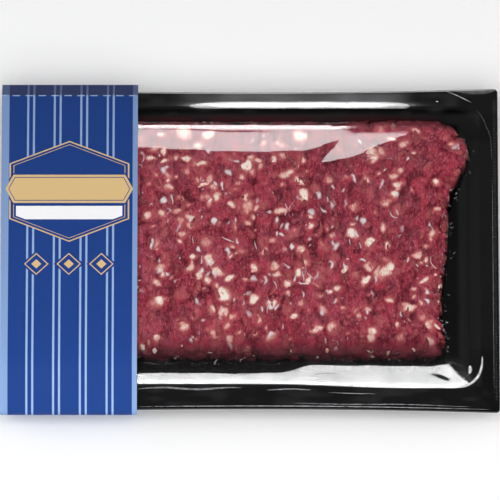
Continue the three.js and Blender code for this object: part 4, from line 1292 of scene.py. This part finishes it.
# Bands of the print: a name, the distance that it goes by, its start and end, and how soft it ends.
print_bands = [
    ("pair", "from pair", 0.83, 1.89, PRINT_EDGE),
    ("striped part", "from left", 8, 56, PRINT_EDGE),
    ("left border", "from left", OUTSIDE, 3.6, PRINT_EDGE),
    ("right border", "from left", 60.7, 70, PRINT_EDGE),
    ("plain field", "frame", OUTSIDE, 27.8, PRINT_EDGE),
    ("outer line", "frame", 27, 27.8, PRINT_EDGE),
    ("inner line", "frame", 25.5, 25.9, PRINT_EDGE),
    ("bar length", "frame", OUTSIDE, 24.6, PRINT_EDGE),
    ("bar height", "from middle", 9.4, 16.4, PRINT_EDGE),
    ("margin length", "plaque end", OUTSIDE, 30.4, PRINT_EDGE),
    ("margin height", "from middle", 17, 33.4, PRINT_EDGE),
    ("plaque length", "plaque end", OUTSIDE, 29.6, PRINT_EDGE),
    ("plaque height", "from middle", 17.8, 32.6, PRINT_EDGE),
    ("panel length", "plaque end", OUTSIDE, 28.3, PRINT_EDGE),
    ("panel height", "from middle", 19, 31.4, PRINT_EDGE),
    ("heart length", "plaque end", OUTSIDE, 27.9, PRINT_EDGE),
    ("heart height", "from middle", 19.4, 31, PRINT_EDGE),
    ("row length", "across", OUTSIDE, 22.4, PRINT_EDGE),
    ("lozenge margins", "lozenge", OUTSIDE, 7, PRINT_EDGE),
    ("lozenge lines", "lozenge", 4.9, 5.7, PRINT_EDGE),
    ("lozenge hearts", "lozenge", OUTSIDE, 2.4, PRINT_EDGE),
    ("on top", "from floor", 20, 40, PRINT_EDGE),
    ("crack line", "from middle", 73.6, 74.3, PRINT_EDGE),
    ("crack dash", "crack place", 0, 3.7, 0.3),
    ("past fold", "from middle", 74.6, 200, 0.6),
]

# Areas of the print, each a share of ink from 0 to 1, put together from the bands.
print_areas = [
    ("borders", "MAXIMUM", "left border", "right border"),
    ("margin", "MULTIPLY", "margin length", "margin height"),
    ("plaque", "MULTIPLY", "plaque length", "plaque height"),
    ("panel", "MULTIPLY", "panel length", "panel height"),
    ("heart", "MULTIPLY", "heart length", "heart height"),
    ("plaque line", "SUBTRACT", "panel", "heart"),
    ("white bar", "MULTIPLY", "bar length", "bar height"),
    ("row margin", "MULTIPLY", "lozenge margins", "row length"),
    ("lozenge shapes", "MAXIMUM", "lozenge lines", "lozenge hearts"),
    ("lozenges", "MULTIPLY", "lozenge shapes", "row length"),
    ("off field", "SUBTRACT", 1, "plain field"),
    ("off margin", "SUBTRACT", 1, "margin"),
    ("off row margin", "SUBTRACT", 1, "row margin"),
    ("all stripes", "MULTIPLY", "pair", "striped part"),
    ("stripes round field", "MULTIPLY", "all stripes", "off field"),
    ("stripes round plaque", "MULTIPLY", "stripes round field", "off margin"),
    ("stripes", "MULTIPLY", "stripes round plaque", "off row margin"),
    ("gap", "SUBTRACT", "margin", "plaque"),
    ("off gap", "SUBTRACT", 1, "gap"),
    ("frame lines", "MAXIMUM", "outer line", "inner line"),
    ("frame and plaque", "MAXIMUM", "frame lines", "plaque"),
    ("all gold", "MAXIMUM", "frame and plaque", "lozenges"),
    ("gold by gap", "MULTIPLY", "all gold", "off gap"),
    ("gold by line", "SUBTRACT", "gold by gap", "plaque line"),
    ("gold", "MULTIPLY", "gold by line", "on top"),
    ("crack on top", "MULTIPLY", "crack line", "on top"),
    ("cracks", "MULTIPLY", "crack on top", "crack dash"),
    # Painted shade, not ink: darker towards the back and past the far fold.
    ("towards back", "MULTIPLY_ADD", "from middle", 1 / 175, 0.36),
    ("painted shade to back", "MULTIPLY", "towards back", 0.38),
    ("painted shade past fold", "MULTIPLY", "past fold", 0.55),
]
print_steps = [(False, *row) for row in print_distances]
for name, distance, low, high, soft in print_bands:
    print_steps.append((True, name + " starts", "MULTIPLY_ADD", distance, 1 / soft, -low / soft))
    print_steps.append((True, name + " goes on", "MULTIPLY_ADD", distance, -1 / soft, high / soft))
    print_steps.append((True, name, "MULTIPLY", name + " starts", name + " goes on"))
print_steps += [(True, *row) for row in print_areas]
printed = {axis: axes.outputs[axis] for axis in "XYZ"}
for clamped, name, operation, *values in print_steps:
    settings = {"operation": operation, "use_clamp": clamped}
    links = {}
    for position, value in enumerate(values):
        if isinstance(value, str):
            links[position] = printed[value]
        else:
            settings[position] = value
    printed[name] = add_node(tree, "ShaderNodeMath", settings, links).outputs[0]

# The ink clouds a little over 18 mm. The board's own grain is drawn 0.4 mm wide, as coarse as it shows.
speckle = add_node(tree, "ShaderNodeTexNoise", {"Scale": pattern_scale(0.3846), "Detail": 2},
                   {"Vector": place.outputs["Object"]})
blotch = add_node(tree, "ShaderNodeTexNoise", {"Scale": pattern_scale(18.18), "Detail": 3},
                  {"Vector": place.outputs["Object"]})
ink = add_node(tree, "ShaderNodeMix",
               {"data_type": "RGBA", 6: linear_colour("#23438a"), 7: linear_colour("#274890")},
               {0: blotch.outputs["Fac"]})
# The two darkest blues are painted shade, towards the back and past the far fold.
inks = [
    ("borders", "#8ba8d8"),
    ("stripes", "#9fbae6"),
    ("painted shade to back", "#0c1730"),
    ("gold", "#d8b985"),
    ("white bar", "#f4f4f6"),
    ("cracks", "#9db2da"),
    ("painted shade past fold", "#061b5a"),
]
for name, colour in inks:
    ink = add_node(tree, "ShaderNodeMix", {"data_type": "RGBA", 7: linear_colour(colour)},
                   {0: printed[name], 6: ink.outputs[2]})
satin = add_node(tree, "ShaderNodeMapRange", {"To Min": 0.2, "To Max": 0.28},
                 {"Value": speckle.outputs["Fac"]})
paper = add_node(tree, "ShaderNodeBump", {"Strength": 0.12, "Distance": 0.1 * MM},
                 {"Height": speckle.outputs["Fac"]})
tree.links.new(ink.outputs[2], shader.inputs["Base Color"])
tree.links.new(satin.outputs["Result"], shader.inputs["Roughness"])
tree.links.new(paper.outputs["Normal"], shader.inputs["Normal"])
shader.inputs["IOR"].default_value = 1.5
shader.inputs["Specular IOR Level"].default_value = 0.02

# Bare board: the sleeve's unprinted inside and its cut edges show grey-white pulp, its fibres drawn
# 0.7 mm apart to show.
bare_board, tree, shader = new_finish("uncoated_carton_board")
place = add_node(tree, "ShaderNodeTexCoord")
pulp = add_node(tree, "ShaderNodeTexNoise", {"Scale": pattern_scale(0.6667), "Detail": 4},
                {"Vector": place.outputs["Object"]})
pulp_shade = add_node(tree, "ShaderNodeMix",
                      {"data_type": "RGBA", 6: linear_colour("#b9b4a9"), 7: linear_colour("#dad6cc")},
                      {0: pulp.outputs["Fac"]})
pulp_bump = add_node(tree, "ShaderNodeBump", {"Strength": 0.3, "Distance": 0.1 * MM},
                     {"Height": pulp.outputs["Fac"]})
tree.links.new(pulp_shade.outputs[2], shader.inputs["Base Color"])
tree.links.new(pulp_bump.outputs["Normal"], shader.inputs["Normal"])
shader.inputs["Roughness"].default_value = 0.85
sleeve = make_piece("card_sleeve", sleeve_points, sleeve_faces, printed_board, crease=24)
sleeve.data.materials.append(bare_board)
bare_sides = [0 if max(face) < inside else 1 for face in sleeve_faces]
sleeve.data.polygons.foreach_set("material_index", bare_sides)
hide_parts("sleeve")

# Studio.
# A pale floor, soft lights in front, above and at both sides, and two softboxes behind the pack that
# only the tipped parts of the film mirror towards the camera.
FLOOR_HALF = 2.6
floor_points = [
    (-FLOOR_HALF, -FLOOR_HALF, 0),
    (FLOOR_HALF, -FLOOR_HALF, 0),
    (FLOOR_HALF, FLOOR_HALF, 0),
    (-FLOOR_HALF, FLOOR_HALF, 0),
]
floor_mesh = bpy.data.meshes.new("floor")
floor_mesh.from_pydata(floor_points, [], [(0, 1, 2, 3)])
floor = bpy.data.objects.new("floor", floor_mesh)
bpy.context.scene.collection.objects.link(floor)
painted_floor, tree, shader = new_finish("painted_floor")
shader.inputs["Base Color"].default_value = linear_colour("#fbfbfb")
shader.inputs["Roughness"].default_value = 0.8
floor_mesh.materials.append(painted_floor)


def add_softbox(name, zenith, azimuth, distance, width, height, radiance):
    """A soft light that faces the pack, placed by its angles in degrees from straight up and from the back.

    Its distance and size are in metres, and its radiance in watts per square metre and steradian.
    """
    lamp = bpy.data.lights.new(name, "AREA")
    lamp.shape = "RECTANGLE"
    lamp.size = width
    lamp.size_y = height
    lamp.energy = radiance * math.pi * width * height
    box = bpy.data.objects.new(name, lamp)
    side = Vector((math.sin(math.radians(zenith)) * math.sin(math.radians(azimuth)),
                   math.sin(math.radians(zenith)) * math.cos(math.radians(azimuth)),
                   math.cos(math.radians(zenith))))
    box.location = side * distance
    box.rotation_euler = side.to_track_quat("Z", "Y").to_euler()
    box.visible_camera = False
    bpy.context.scene.collection.objects.link(box)
    return box


for mirrored_box in (add_softbox("back_softbox", 53.5, 0, 3.0, 1.9, 0.58, 22),
                     add_softbox("back_strip", 44.5, 0, 3.0, 1.7, 0.36, 11)):
    mirrored_box.visible_diffuse = False
for fill_box in (add_softbox("front_softbox", -33, 0, 1.3, 1.5, 1.2, 2.9),
                 add_softbox("top_softbox", -4, 0, 1.9, 2.2, 1.2, 0.7),
                 add_softbox("right_softbox", 55, 90, 1.6, 1.5, 0.9, 1.2),
                 add_softbox("left_softbox", 55, -90, 1.6, 1.5, 0.9, 1.2)):
    fill_box.visible_glossy = False
world = bpy.data.worlds.new("studio")
bpy.context.scene.world = world
world.use_nodes = True
background = world.node_tree.nodes["Background"]
background.inputs["Color"].default_value = linear_colour("#ffffff")
background.inputs["Strength"].default_value = 0.08
bpy.context.scene.view_settings.view_transform = "Standard"
